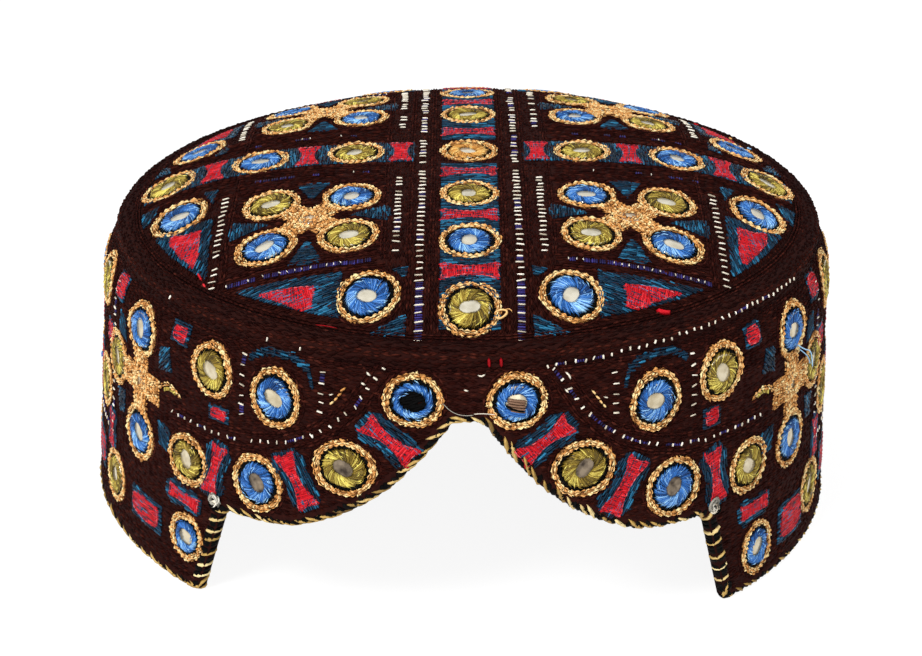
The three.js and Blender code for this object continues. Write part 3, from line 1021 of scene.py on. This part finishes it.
for step in (14.1, 39.6, 63.0):
    for side in (-1, 1):
        red_motif(crown_surface, bow_tie((0, side * step), 0, 6.8, 2.8, 1.3), 0)
for step in (16.8, 39.7, 63.0):
    for side in (-1, 1):
        red_motif(crown_surface, bow_tie((side * step, 0), 90, 6.3, 2.8, 1.4), 90)
end_arrow = [(47.4, 62.9), (40.0, 63.3), (34.2, 63.9), (34.9, 67.0), (34.6, 70.2), (37.0, 70.5)]
end_arrow.append((41.2, 67.2))
side_arrow = [(70.3, 30.4), (70.0, 34.6), (67.6, 39.6), (63.2, 47.4), (62.6, 43.0), (63.1, 32.2)]
side_arrow.append((66.6, 33.2))
for sx, sy in quarters:
    red_motif(crown_surface, mirrored(end_arrow, sx, sy), 10 * sx * sy)
    red_motif(crown_surface, mirrored(side_arrow, sx, sy), 90)
for outline, slope in band_reds:
    red_motif(wall_surface, outline, slope)
thread_piece("red_fill", red, red_thread)
thread_piece("pink_edges", pink, pink_thread)

# Each medallion holds its mirror under a ring of fine satin stitches, blue or olive, that reach in
# over the glass at a slant. Round it, across a black gap, runs a rope of orange chain stitch. The
# middle one of the crown is worked all in gold.
satin_threads = {
    "blue": thread_material("blue_satin", "041840", "3072c2", "b0e2ff", 0.5, 0.25),
    "olive": thread_material("olive_satin", "241604", "9c8230", "fff07a", 0.5, 0.25),
    "gold": thread_material("gold_satin", "7a4212", "d89a48", "fbe090", 0.5, 0.25),
}
gold_chain_thread = thread_material("gold_chain", "4a1c0a", "e2a058", "fff0b4", 0.5, 0.15)
black_thread = thread_material("black_thread", "020202", "060505", "12100f", 0.75, 0.05)
usual_size = 7.45
satin_radii = np.array([1.85, 2.6, 4.3, 5.1])
satin_share = np.array([0, 0.2, 0.8, 1])
satin_lifts = np.array([0.36, 0.6, 0.5, 0.0])
satin_taper = np.array([0.6, 0.9, 1, 0.7])
satin_layers = [(26, 0.6, 0.16, 0.14, 0.1), (86, 0.17, 0.17, 0, 0.3)]
stray_count = 48
gap_count = 32
padding_count = 48
highlight_tuft_count = 44
chain_thickness = 0.18
band_opening = 0.12
lost_opening = 0.7
satin = {"blue": [], "olive": [], "gold": []}
gaps = []


def oval(medallion, radius, angle, share=1):
    """Places round a medallion, the radius being that in one of the usual size."""
    x, y, wide, high, _ = medallion
    extra = (wide - usual_size) * np.cos(angle) ** 2 + (high - usual_size) * np.sin(angle) ** 2
    reach = radius + share * extra
    return np.stack([x + reach * np.cos(angle), y + reach * np.sin(angle)], axis=-1)


def satin_ring(surface, medallion, opening):
    """The ring over a mirror's rim: a padding of wide stitches, then many fine ones in a swirl."""
    batches = satin[medallion[4]]
    hand = rng.choice((-1, 1))
    wave = rng.integers(2, 4)
    phase = rng.uniform(0, full_turn)
    slip = rng.normal(0, 0.12, 2) + np.array([-0.1, 0.05])
    radii = satin_radii + opening * np.array([1, 1, 0, 0])
    lobe = rng.uniform(0.2, 0.45)
    lobe_turn = rng.uniform(0, full_turn)
    dark_turn = rng.uniform(0, full_turn)
    for count, half_width, height, sink, ragged in satin_layers:
        angle = np.linspace(0, full_turn, count, endpoint=False)[:, None]
        angle = angle + rng.normal(0, 0.04, (count, 1)) + hand * np.array([0, 0.2, 0.48, 0.62])
        stop = rng.normal(0, ragged, (count, 1)) * np.array([0.15, 0.1, 0.5, 1])
        inner_side = lobe * np.sin(2 * angle[:, :1] + lobe_turn) * np.array([1, 0.8, 0, 0])
        # Painted light: the near, lower side of each ring is made lighter and the far side darker, as
        # light falls on the domed satin. The waves and the dark patch at a random turn are uneven tone.
        painted_light_and_tone = 0.42 - 0.15 * np.sin(angle[:, 2]) + 0.2 * np.sin(angle[:, 2] * wave + phase)
        painted_light_and_tone -= 0.25 * np.exp(-((np.sin((angle[:, 2] - dark_turn) / 2) / 0.3) ** 2))
        shade = shades(painted_light_and_tone, 0.24, count)
        width = half_width * satin_taper * rng.uniform(0.7, 1.3, (count, 1))
        lift = satin_lifts - sink + rng.uniform(-0.05, 0.07, (count, 1))
        reach = radii + stop + inner_side
        paths = oval(medallion, reach, angle, satin_share) + slip * (1 - 0.7 * satin_share[:, None])
        batches.append(thread_mesh(surface, paths, lift, width, height, shade))
    angle = rng.uniform(0, full_turn, (stray_count, 1)) + hand * np.linspace(0, 0.4, 3)
    reach = rng.uniform(2.7, 4.9, (stray_count, 1)) + np.array([-0.3, 0, 0.3])
    paths = oval(medallion, reach, angle, 0.6)
    batches.append(thread_mesh(surface, paths, 0.62, 0.13, 0.16, shades(0.62, 0.42, stray_count)))


def black_gap(surface, medallion):
    """Black stitches under the gap between the satin and the rope, and on under both."""
    angle = np.linspace(0, full_turn, gap_count, endpoint=False)[:, None] + np.zeros(3)
    paths = oval(medallion, np.array([4.0, 5.3, 6.6]), angle)
    gaps.append(thread_mesh(surface, paths, 0.0, 0.9, 0.14, rng.uniform(0, 1, gap_count)))


def sideways(step):
    """The direction across each step of a line."""
    return np.stack([-step[:, 1], step[:, 0]], axis=1) / np.hypot(*step.T)[:, None]


def chain(points, width):
    """Chain stitch: each link is two threads that part and meet again inside the next."""
    first, second = points[:-1], points[1:]
    step = second - first
    side = sideways(step)
    first = first + side * rng.normal(0, 0.1, (len(step), 1))
    first = first + step * rng.normal(0, 0.1, (len(step), 1))
    strands = []
    for hand in (-1, 1):
        bow = side * hand * width * rng.uniform(0.6, 1.3, (len(step), 1))
        widest = first + step * rng.uniform(0.4, 0.75, (len(step), 1)) + bow * 1.1
        strands.append(np.stack([first - step * 0.15, widest, second + step * 0.3], axis=1))
    return np.concatenate(strands)


def chain_batch(surface, paths, lift=0.14):
    """A batch of chain stitch on a surface."""
    count = len(paths)
    lifts = lift + rng.uniform(-0.12, 0.2, (count, 1)) + np.array([-0.1, 0.14, 0])
    widths = chain_thickness * rng.uniform(0.8, 1.7, (count, 1))
    shade = shades(0.58 + 0.2 * mottle(paths[:, 1], 1.8), 0.26, count)
    return thread_mesh(surface, paths, lifts, widths, 0.34, shade)


def rope_row(medallion, radius, pitch):
    """Places round a medallion that aren't quite true."""
    count = int(round(full_turn * radius / pitch))
    angle = np.linspace(0, full_turn, count + 1) + rng.uniform(0, 6)
    wobble = 0.18 * np.sin(2 * angle + rng.uniform(0, 6))
    wobble = wobble + 0.12 * np.sin(5 * angle + rng.uniform(0, 6))
    return oval(medallion, radius + wobble, angle)


def rope_padding(surface, medallion):
    """Darker orange stitches that lie across under the rope."""
    angle = np.linspace(0, full_turn, padding_count, endpoint=False)[:, None] + np.linspace(0, 0.2, 3)
    stop = rng.normal(0, 0.12, (padding_count, 1))
    paths = oval(medallion, np.array([5.7, 6.5, 7.3]) + stop, angle)
    return thread_mesh(surface, paths, 0.04, 0.6, 0.14, shades(0.3, 0.16, padding_count))


def highlight_tufts(surface, medallion):
    """Short stitches along the rope in the lightest shade: painted highlights where ends and crossings
    catch the light.
    """
    angle = rng.uniform(0, full_turn, highlight_tuft_count)
    middle = oval(medallion, rng.uniform(5.8, 7.1, highlight_tuft_count), angle)
    way = angle + math.pi / 2 + rng.normal(0, 0.6, highlight_tuft_count)
    reach = np.stack([np.cos(way), np.sin(way)], axis=-1) * rng.uniform(0.35, 0.65, (highlight_tuft_count, 1))
    paths = np.stack([middle - reach, middle, middle + reach], axis=1)
    shade = shades(0.95, 0.2, highlight_tuft_count)
    return thread_mesh(surface, paths, 0.36, rng.uniform(0.12, 0.3, (highlight_tuft_count, 1)), 0.22, shade)


crown_gold = []
band_gold = []
for surface, medallions, gold, opening in (
    (crown_surface, crown_medallions, crown_gold, 0),
    (wall_surface, band_medallions, band_gold, band_opening),
):
    for medallion in medallions:
        black_gap(surface, medallion)
        satin_ring(surface, medallion, lost_opening if medallion is lost_medallion else opening)
        for radius, pitch, width in ((6.1, 1.4, 0.25), (6.8, 1.6, 0.28)):
            gold.append(chain_batch(surface, chain(rope_row(medallion, radius, pitch), width)))
        gold.append(rope_padding(surface, medallion))
        gold.append(highlight_tufts(surface, medallion))

# Where the mirror is lost the satin rings a black hole.
hole_radius = 3.2
turns = np.arange(0, 6.2, 0.4)
hole = np.stack([hole_radius * np.cos(turns), hole_radius * np.sin(turns)], axis=1) + lost_medallion[:2]
hole_rows = blunt(rows(hole, 20, 0.5, 2.0))
gaps.append(thread_mesh(wall_surface, hole_rows, 0.08, 0.4, 0.12, rng.uniform(0, 0.5, len(hole_rows))))
for colour, batches in satin.items():
    thread_piece(f"satin_{colour}", batches, satin_threads[colour])
thread_piece("black_gaps", gaps, black_thread)

# The four flowers of the crown and those of the side band have their middles filled with orange
# chain stitch: rows along each arm up to its medallion, and rings round a very small mirror.
arm_offsets = (-2.8, -1.85, -0.95, 0, 0.95, 1.85, 2.8)
heart_radius = 2.4  # the rows start round the small mirror


def flower_middle(surface, x, y, arms, gold):
    """The filled middle of a flower, each arm given as its angle and its length."""
    for angle, reach in arms:
        for offset in arm_offsets:
            start = math.sqrt(max(heart_radius**2 - offset**2, 0)) + 0.2
            stop = reach - 6.4 + offset**2 / 12
            line = turned([(start, offset), (stop, offset * 0.9)], angle) + (x, y)
            gold.append(chain_batch(surface, chain(spread(line, 1.15), 0.3), 0.16))
        base = [(1.5, -3.2), (reach - 6.0, -3.4), (reach - 6.0, 3.4), (1.5, 3.2)]
        under = blunt(rows(turned(base, angle) + (x, y), angle + 60, 0.6, 2.2))
        gold.append(thread_mesh(surface, under, 0.02, 0.42, 0.16, shades(0.3, 0.2, len(under))))
    heart = (x, y, usual_size, usual_size, "gold")
    for radius in (1.6, 2.3):
        gold.append(chain_batch(surface, chain(rope_row(heart, radius, 1.1), 0.26), 0.45))


crown_arms = [(angle, flower_arm * math.sqrt(2)) for angle in (45, 135, 225, 315)]
for x, y in crown_flowers:
    flower_middle(crown_surface, x, y, crown_arms, crown_gold)
side_reach = math.radians(band_flower_side) * wall_top_radius
band_arms = [(0, side_reach), (90, band_flower_top), (180, side_reach), (270, band_flower_bottom)]
for angle in band_flower_centres:
    flower_middle(wall_surface, *at(angle, band_flower_height), band_arms, band_gold)

# The inner arm of each front flower is worked over in maroon, and only the top of its rope shows.
half_covered = []
for side in (-1, 1):
    u, v = at(side * 48.4, 45.2)
    turns = np.radians(90 - side * np.linspace(60, -50, 12))
    top = np.stack([u + 5.0 * np.cos(turns), v + 4.6 * np.sin(turns)], axis=1)
    band_gold.append(chain_batch(wall_surface, chain(spread(top, 1.2), 0.34), 0.3))
    within = np.stack([u + 3.9 * np.cos(turns), v + 3.5 * np.sin(turns)], axis=1)
    steps = spread(within[2:-2], 0.35)
    outwards = (steps - (u, v)) * 0.14
    lean = np.gradient(steps, axis=0) * 0.9
    paths = blunt(np.stack([steps - outwards - lean, steps, steps + outwards + lean], axis=1))
    half_covered.append(
        thread_mesh(wall_surface, paths, 0.2, 0.2, 0.25, shades(0.55, 0.25, len(paths)))
    )
thread_piece("satin_half_covered", half_covered, satin_threads["olive"])
thread_piece("gold_chain_crown", crown_gold, gold_chain_thread)
thread_piece("gold_chain_band", band_gold, gold_chain_thread)

# Ladders of white rungs on purple run beside the strips and the squares of the crown, and lines of
# white dots follow the swags of the side band. Both are single short stitches.
white_thread = thread_material("white_thread", "8c7c66", "e2d8c4", "fff8ea", 0.55, 0.3)
purple_thread = thread_material("purple_thread", "0e0a26", "20184c", "3c3480", 0.6, 0.2)
white = []
purple = []


def rungs(surface, line, pitch, length, thickness, purple_share, missing=0.0, purple_reach=0.0):
    """Short white stitches across a line, a share of them missing, and purple ones between them."""
    points = spread(line, pitch)
    step = np.gradient(points, axis=0)
    side = sideways(step)
    keep = rng.uniform(0, 1, len(points)) >= missing
    half = length / 2 * rng.uniform(0.8, 1.15, (len(points), 1))
    lean = rng.normal(0, 0.06, (len(points), 1)) * step
    points = points + rng.normal(0, 0.12, points.shape)
    paths = np.stack([points - side * half - lean, points, points + side * half + lean], axis=1)[keep]
    shade = shades(0.6, 0.3, len(paths))
    width = thickness * rng.uniform(0.7, 1.2, (len(paths), 1))
    white.append(thread_mesh(surface, blunt(paths), 0.2, width, 0.3, shade))
    between = points[:-1] + np.diff(points, axis=0) / 2
    keep = rng.uniform(0, 1, len(between)) < purple_share
    cross = side[:-1] * max(length / 2 - 0.1, purple_reach)
    paths = np.stack([between - cross, between, between + cross], axis=1)[keep]
    for shift in (-0.28, 0, 0.28):
        shifted = blunt(paths + (step[:-1][keep] * shift)[:, None])
        purple.append(thread_mesh(surface, shifted, 0.06, 0.3, 0.25, rng.uniform(0, 1, len(paths))))


# Ladders beside the middle strip, those of the squares, and dotted lines: the start and the end, and
# then what rungs() asks for, from the pitch on. More of the squares' rungs are missing at the back.
strip_ladders = [
    ((11.2, -82.5), (11.2, -66), 2.35, 2.1, 0.24, 0.85, 0),
    ((11.2, -64), (11.2, -14), 2.2, 1.9, 0.22, 0.1, 0),
    ((11.2, -8), (11.2, 80), 2.2, 1.8, 0.18, 0.3, 0.2),
]
square_ladders = [
    ((16.7, 55), (16.7, 18), 2.1, 1.8, 0.21),
    ((58.2, 56.5), (58.2, 20), 2.1, 1.8, 0.21),
]
dotted_lines = [
    ((22, 57.4), (55, 57.4), 1.75, 0.7, 0.17, 0.95, 0.3, 0.75),
    ((22, 13.0), (56, 13.0), 2.0, 0.9, 0.18, 0.35, 0.92, 0.6),
]
for sx in (-1, 1):
    for start, stop, *sizes in strip_ladders:
        rungs(crown_surface, mirrored([start, stop], sx, 1), *sizes)
    for sy in (-1, 1):
        missing = 0.03 if sy < 0 else 0.3
        for start, stop, *sizes in square_ladders:
            rungs(crown_surface, mirrored([start, stop], sx, sy), *sizes, 0.05, missing)
        for start, stop, *sizes in dotted_lines:
            rungs(crown_surface, mirrored([start, stop], sx, sy), *sizes)


def roll_face(u, v):
    """The roll's full round, as a surface for stitches that lie on it."""
    return lifted(shoulder_surface, u, v, fullness(roll_share(v)))[0]


def band_line(side, places):
    """A line on the band, from degrees and heights, on one side or the other."""
    return [at(side * angle, height) for angle, height in places]


swag = [(12.1, 66.6), (13.6, 63.5), (16, 57.8), (19.2, 52.8), (22.2, 49.4), (26.4, 46.4), (31.4, 44.5)]
swag += [(36.4, 43.6), (42, 43.3), (48, 43.4)]
dot_row = [(11, 67.9), (16, 68.3), (25, 69.0), (38, 69.8), (50, 69.9), (60, 69.6)]
swag_start = 5  # the first places of the swag lead down from the roll
for side, dots_purple, dots_missing in ((-1, 0, 0.85), (1, 0.2, 0.05)):
    line = band_line(side, swag)
    rungs(wall_surface, line[:swag_start], 2.5, 1.1, 0.24, 0.3, 0.1)
    rungs(wall_surface, line[swag_start - 1 :], 2.3, 0.85, 0.22, 0.35, 0.08)
    for angle, low, high in ((20.9, 55.5, 64.5), (33.8, 50.5, 64.5)):
        rungs(wall_surface, band_line(side, [(angle, low), (angle, high)]), 2.2, 1.5, 0.22, 0.25)
    rungs(roll_face, band_line(side, dot_row), 2.2, 0.75, 0.25, dots_purple, dots_missing)
    for turn in band_panels:
        for edge in (turn - 19.5, turn + 19.5):
            rungs(wall_surface, band_line(side, [(edge, 24), (edge, 64)]), 2.2, 1.6, 0.25, 0.4, 0.1)
        line = band_line(side, [(turn + offset, 23.5) for offset in (-18, -9, 0, 9, 18)])
        rungs(wall_surface, line, 2.3, 1.2, 0.26, 0.6, 0.1)
thread_piece("white_stitches", white, white_thread)
thread_piece("purple_stitches", purple, purple_thread)

# Raised maroon ribs, threads couched down side by side, border the zones: the strips and squares
# of the crown, the ring above the shoulder, the swags of the side band and every medallion.
rib_pitch = 1.7
rib_thread = thread_material("rib_thread", "100202", "2a0b07", "50241b", 0.85, 0.05)
ribs = []


def rib(surface, line, offsets, lift=0.05):
    """Couched threads beside a line, at offsets from it."""
    points = spread(line, rib_pitch)
    side = sideways(np.gradient(points, axis=0))
    for offset in offsets:
        paths = end_to_end(points + side * offset, 0.3, 0.06)
        shade = shades(0.45, 0.22, len(paths))
        height = 0.4 * rng.uniform(0.7, 1.3, (len(paths), 1))
        ribs.append(thread_mesh(surface, paths, lift, 0.36, height, shade))


for sx in (-1, 1):
    for x, reach in ((8.3, 80), (13.5, 80), (19.4, 56), (55.6, 56)):
        rib(crown_surface, [(sx * x, -reach), (sx * x, reach)], (0, 0.75))
    for y in (8.3, 18.6, 55.4, 60.0):
        stop = math.sqrt(segment_radius**2 - y**2) - 1
        for sy in (-1, 1):
            rib(crown_surface, [(sx * 19, sy * y), (sx * stop, sy * y)], (0, 0.75 * sy))
all_round = np.linspace(0, 360, 200)
for radius in (80.6, 81.4, 82.2):
    line = [at(angle, shoulder_edge + crown_radius - radius) for angle in all_round]
    rib(shoulder_surface, line, (0,), 0.2)
for side in (-1, 1):
    rib(wall_surface, band_line(side, swag), (-2.2, -1.5, 1.5, 2.2))
for surface, medallions in ((crown_surface, crown_medallions), (wall_surface, band_medallions)):
    for medallion in medallions:
        rib(surface, rope_row(medallion, 7.9, rib_pitch), (0,), 0)

# Four threads lie in the seam between the roll and the side band and close it.
seam = [at(angle, roll_low - 0.15) for angle in all_round]
for lift in (-0.5, -0.05):
    rib(shoulder_surface, seam, (-0.3, 0.3), lift)
thread_piece("couched_ribs", ribs, rib_thread)

# The lower edge is bound over a dark cord with one thick overcast thread, three turns of black to
# one of yellow, that slants round the edge of the cloth from its face to its inside.
binding_radius = 1.7
binding_depth = cloth_thickness / 2
cord_pitch = 0.6
floor_clearance = 0.5
whip_pitch = 0.9
whip_order = ("yellow", "black", "black", "black")
yellow_thread = thread_material("yellow_thread", "4a3412", "b8944e", "f6e2a8", 0.5, 0.2)

front_half = [at(angle, height) for angle, height in zip(*front_edge.values())]
front_line = [(-x, y) for x, y in front_half[:0:-1]] + front_half
tip = front_line[-1][0]
back_line = [(x, 0) for x in np.linspace(tip, wall_round - tip, 120)[1:-1]]
edge_line = spread(front_line + back_line + [(wall_round - tip, 0)], cord_pitch)[:-1]
travel = np.roll(edge_line, -2, axis=0) - np.roll(edge_line, 2, axis=0)
travel[:, 0] = (travel[:, 0] + half_round) % wall_round - half_round
inward = sideways(travel)
cord_line = edge_line + inward * binding_radius
cord_middle, cord_out = lifted(wall_surface, *cord_line.T, -binding_depth)
further, _ = lifted(wall_surface, *(cord_line + inward).T, -binding_depth)
cord_in = further - cord_middle
cord_in /= np.linalg.norm(cord_in, axis=1, keepdims=True)


def round_edge(place, turn, radius):
    """Places round the bound edge: how far along it, the turn from its face and the radius."""
    index = np.arange(len(cord_middle) + 1)
    frames = []
    wrapped = place % len(cord_middle)
    for part in (cord_middle, cord_out, cord_in):
        closed = np.concatenate([part, part[:1]])
        frames.append(np.stack([np.interp(wrapped, index, closed[:, i]) for i in range(3)], axis=-1))
    middle, out, inner = frames
    facing = out * np.cos(turn)[..., None] + inner * np.sin(turn)[..., None]
    facing /= np.linalg.norm(facing, axis=-1, keepdims=True)
    points = middle + facing * (radius * mm)
    points[..., 2] = np.maximum(points[..., 2], floor_clearance * mm)
    return points, facing


cord_sides = 12
cord_turns = np.linspace(0, full_turn, cord_sides, endpoint=False)
cord_places = np.arange(0, len(cord_middle), 2)
grid_place, grid_turn = np.meshgrid(cord_places, cord_turns, indexing="ij")
cord_points, _ = round_edge(grid_place.astype(float), grid_turn, binding_radius)
corners = np.arange(grid_place.size).reshape(grid_place.shape)
beside = np.roll(corners, -1, axis=1)
cord_faces = [corners, beside, np.roll(beside, -1, axis=0), np.roll(corners, -1, axis=0)]
cord_faces = np.stack(cord_faces, axis=-1).reshape(-1, 4)
cord_mesh = bpy.data.meshes.new("edge_cord")
cord_mesh.from_pydata(cord_points.reshape(-1, 3).tolist(), [], cord_faces.tolist())
edge_cord = bpy.data.objects.new("edge_cord", cord_mesh)
bpy.context.collection.objects.link(edge_cord)
bpy.ops.object.select_all(action="DESELECT")
edge_cord.select_set(True)
bpy.context.view_layer.objects.active = edge_cord
work_whole(bpy.ops.mesh.normals_make_consistent, inside=False)
close_piece(edge_cord, "edge_cord", maroon_cloth, "edge_thread", "front_binding", "rim_binding")

whip_count = int(len(cord_middle) * cord_pitch / whip_pitch)
whip_steps = 9
whip_slants = {
    "yellow": np.array([-4.2, -1.6, 1.0, 3.6, 4.6, 5.2, 5.8, 6.4, 7.0]),
    "black": np.linspace(-1.6, 3.6, whip_steps),
}
whip_widths = {
    "yellow": np.array([0.1, 0.42, 0.58, 0.55, 0.4, 0.4, 0.4, 0.4, 0.3]),
    "black": np.full(whip_steps, 0.6),
}
whip_heights = {"yellow": 0.42, "black": 0.24}
whip_end = -215  # the thread ends inside the cap, in degrees round the cord
slit_heights = (3, 24.5)
whip_starts = np.arange(whip_count) * len(cord_middle) / whip_count
for colour, thread in (("yellow", yellow_thread), ("black", black_thread)):
    chosen = np.array([whip_order[k % len(whip_order)] == colour for k in range(whip_count)])
    starts = whip_starts[chosen][:, None] + rng.normal(0, 0.8, (chosen.sum(), 1))
    height_there = np.interp(starts % len(cord_middle), np.arange(len(cord_middle)), cord_line[:, 1])
    in_slit = (height_there > slit_heights[0]) & (height_there < slit_heights[1])
    slant = whip_slants[colour] * rng.uniform(0.8, 1.2, (len(starts), 1))
    place = starts + slant * np.where(in_slit, 0.25, 1)
    first_turn = np.where(in_slit, 40, 5) + rng.normal(0, 12, starts.shape)
    turn = np.radians(first_turn + (whip_end - first_turn) * np.linspace(0, 1, whip_steps))
    sunk = np.zeros(whip_steps)
    sunk[[0, -1]] = 0.15
    centre, facing = round_edge(place, turn, (binding_radius + 0.05 - sunk)[:, None])
    width = whip_widths[colour] * rng.uniform(0.85, 1.15, (len(starts), 1))
    width = width * np.where(in_slit & (colour == "yellow"), rng.uniform(0.5, 1.2, starts.shape), 1)
    height = whip_heights[colour] * rng.uniform(0.8, 1.2, (len(starts), 1)) * np.ones(whip_steps)
    shade = shades(0.55, 0.25, len(starts))
    batch = thread_body(centre, facing, width[..., None] * mm, height[..., None] * mm, shade)
    thread_piece(f"edge_whipping_{colour}", [batch], thread, "edge_thread")

# Loose ends: here and there a thread has worked free, was knotted off or strays from one motif to
# the next. Each is a single thread that lies over the rest.
grey_thread = thread_material("grey_thread", "4c4a44", "989488", "e8e4d8", 0.6, 0.2)
brown_thread = thread_material("brown_thread", "2c1a12", "7a5c48", "b49478", 0.6, 0.2)
loose_threads = {"white": white_thread, "gold": gold_chain_thread, "red": red_thread}
loose_threads.update({"blue": satin_threads["blue"], "grey": grey_thread, "brown": brown_thread})
loose_threads["black"] = black_thread
loose = {colour: [] for colour in loose_threads}


def strand(colour, surface, line, thickness=0.2, shade=0.6, lift=0.4):
    """One thread along a line of places on a surface."""
    points = np.asarray(line, float)
    for _ in range(2):
        corners = (points[:-1] * 0.75 + points[1:] * 0.25, points[:-1] * 0.25 + points[1:] * 0.75)
        points = np.concatenate([points[:1], np.stack(corners, axis=1).reshape(-1, 2), points[-1:]])
    points = spread(points, 0.5)
    if len(points) < 3:
        points = np.stack([points[0], points.mean(axis=0), points[-1]])
    rise = lift + 0.3 * np.sin(np.linspace(0, math.pi, len(points)))
    loose[colour].append(thread_mesh(surface, points[None], rise, thickness, thickness * 1.3, shade))


def band_strand(colour, places, thickness=0.2, shade=0.6, lift=0.4):
    """A thread on the band, from degrees and heights."""
    strand(colour, wall_surface, band_line(1, places), thickness, shade, lift)


def knot(colour, surface, u, v, size, count=6, shade=0.6):
    """A tuft of short crossing threads."""
    for _ in range(count):
        turns = rng.uniform(0, full_turn) + np.array([0, 1.2, 2.6, 3.6])
        reach = size * rng.uniform(0.3, 1.3, 4)
        ends = np.stack([u + reach * np.cos(turns), v + reach * np.sin(turns)], axis=1)
        strand(colour, surface, ends, 0.22, shades(shade, 0.3, 1))


# White specks and threads round the front pair, and the pale thread along the top of the notch.
for thickness, *places in (
    (0.2, (1.1, 66.2), (1.7, 65.8), (2.3, 66.4)),
    (0.2, (-0.8, 63.4), (0.0, 63.1)),
    (0.25, (-14.6, 65.8), (-13.8, 65.0)),
    (0.25, (-15.2, 63.6), (-14.4, 63.2)),
    (0.25, (13.5, 65.9), (14.0, 65.2), (14.3, 64.2)),
    (0.22, (13.3, 62.6), (13.9, 61.6)),
):
    band_strand("white", places, thickness)
band_strand("grey", [(-3.6, 60.6), (-2.4, 58.8), (-0.8, 57.9), (0.8, 58.0)], 0.1, 0.5, 0.5)
band_strand("white", [(0.6, 58.2), (2.0, 58.5), (3.8, 58.0)], 0.1, 0.6, 0.5)
for angle in (2.7, 4.4):
    strand("red", roll_face, [at(angle, 70.2), at(angle + 0.1, 68.2)], 0.36, 0.0, 0.2)

# The broken mirror is held by brown threads across its lower half.
for height in (58.4, 59.0, 59.6, 60.2, 60.7):
    places = [(5.2, height + 0.5), (6.6, height + 0.1), (8.0, height - 0.2)]
    band_strand("brown", places, 0.34, 0.5, 0.35)
for height in (57.7, 58.2):
    band_strand("blue", [(4.9, height + 0.9), (6.4, height), (8.0, height - 0.4)], 0.4, 0.3, 0.4)
band_strand("black", [(4.9, 60.2), (6.0, 59.2), (7.7, 58.4)], 0.22, 0.3, 0.8)

# Orange stitches outside the swags, a loop on the front medallion, and strays beside the reds.
for side, shift in ((-1, 0), (1, -0.6)):
    for angle, height in ((17.2, 62.2), (17.7, 61.0), (18.3, 59.9), (18.8, 58.9)):
        end = (side * (angle + rng.uniform(0.5, 0.9)), height + shift - 1.1)
        band_strand("gold", [(side * angle, height + shift), end], 0.26, rng.uniform(0.3, 1), 0.3)
    band_strand("white", [(side * 18.9, 60.4 + shift), (side * 19.7, 60.0 + shift)], 0.16, 0.5, 0.3)
loop = [(5.2, -76.0), (6.8, -75.2), (8.3, -75.7), (7.4, -77.2), (6.0, -77.8), (5.4, -76.8)]
strand("gold", crown_surface, loop, 0.3, 0.7, 0.5)
strand("gold", crown_surface, [(7.0, -75.4), (8.8, -74.8), (9.2, -75.8)], 0.14, 0.6, 0.4)
strand("red", crown_surface, [(41.0, -69.6), (42.8, -70.0), (44.4, -69.2)], 0.7, 0.5, 0.1)
strand("red", crown_surface, [(-62.0, -49.6), (-60.8, -52.6)], 0.3, 0.6, 0.1)
strand("red", crown_surface, [(-60.4, -53.8), (-59.6, -55.6)], 0.3, 0.8, 0.1)
strand("red", crown_surface, [(-34.0, -74.9), (-28.6, -77.0)], 0.16, 0.0, 0.1)

# Grey threads are knotted off over the tops of the slits, and pale blue ones trail from the flower.
for side in (-1, 1):
    knot("grey", wall_surface, *at(side * 38.2, 26.4), 1.6, 14, 0.45)
    knot("black", wall_surface, *at(side * 38.5, 25.0), 1.4, 5)
    knot("white", wall_surface, *at(side * 38.3, 25.4), 1.2, 5, 0.5)
band_strand("blue", [(57.8, 55.0), (60.6, 52.0), (63.0, 50.4), (64.6, 45.0)], 0.18, 1.0, 0.9)
band_strand("blue", [(58.6, 53.4), (61.8, 49.6), (63.4, 46.6)], 0.16, 0.9, 0.9)
knot("blue", wall_surface, *at(-84, 33.0), 0.8, 5)

# Small knots stand along the back edge of the crown.
knot_radius = 81.0
for colour, turn in (("red", 90), ("gold", 61), ("blue", 48), ("red", 40), ("gold", 30), ("blue", 24)):
    turn = math.radians(turn)
    knot(colour, crown_surface, knot_radius * math.cos(turn), knot_radius * math.sin(turn), 0.6, 4)
for colour, batches in loose.items():
    thread_piece(f"loose_{colour}", batches, loose_threads[colour])

low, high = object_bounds()
size = {"cad": [list(corner) for corner in cad_box], "visual": [list(low), list(high)]}
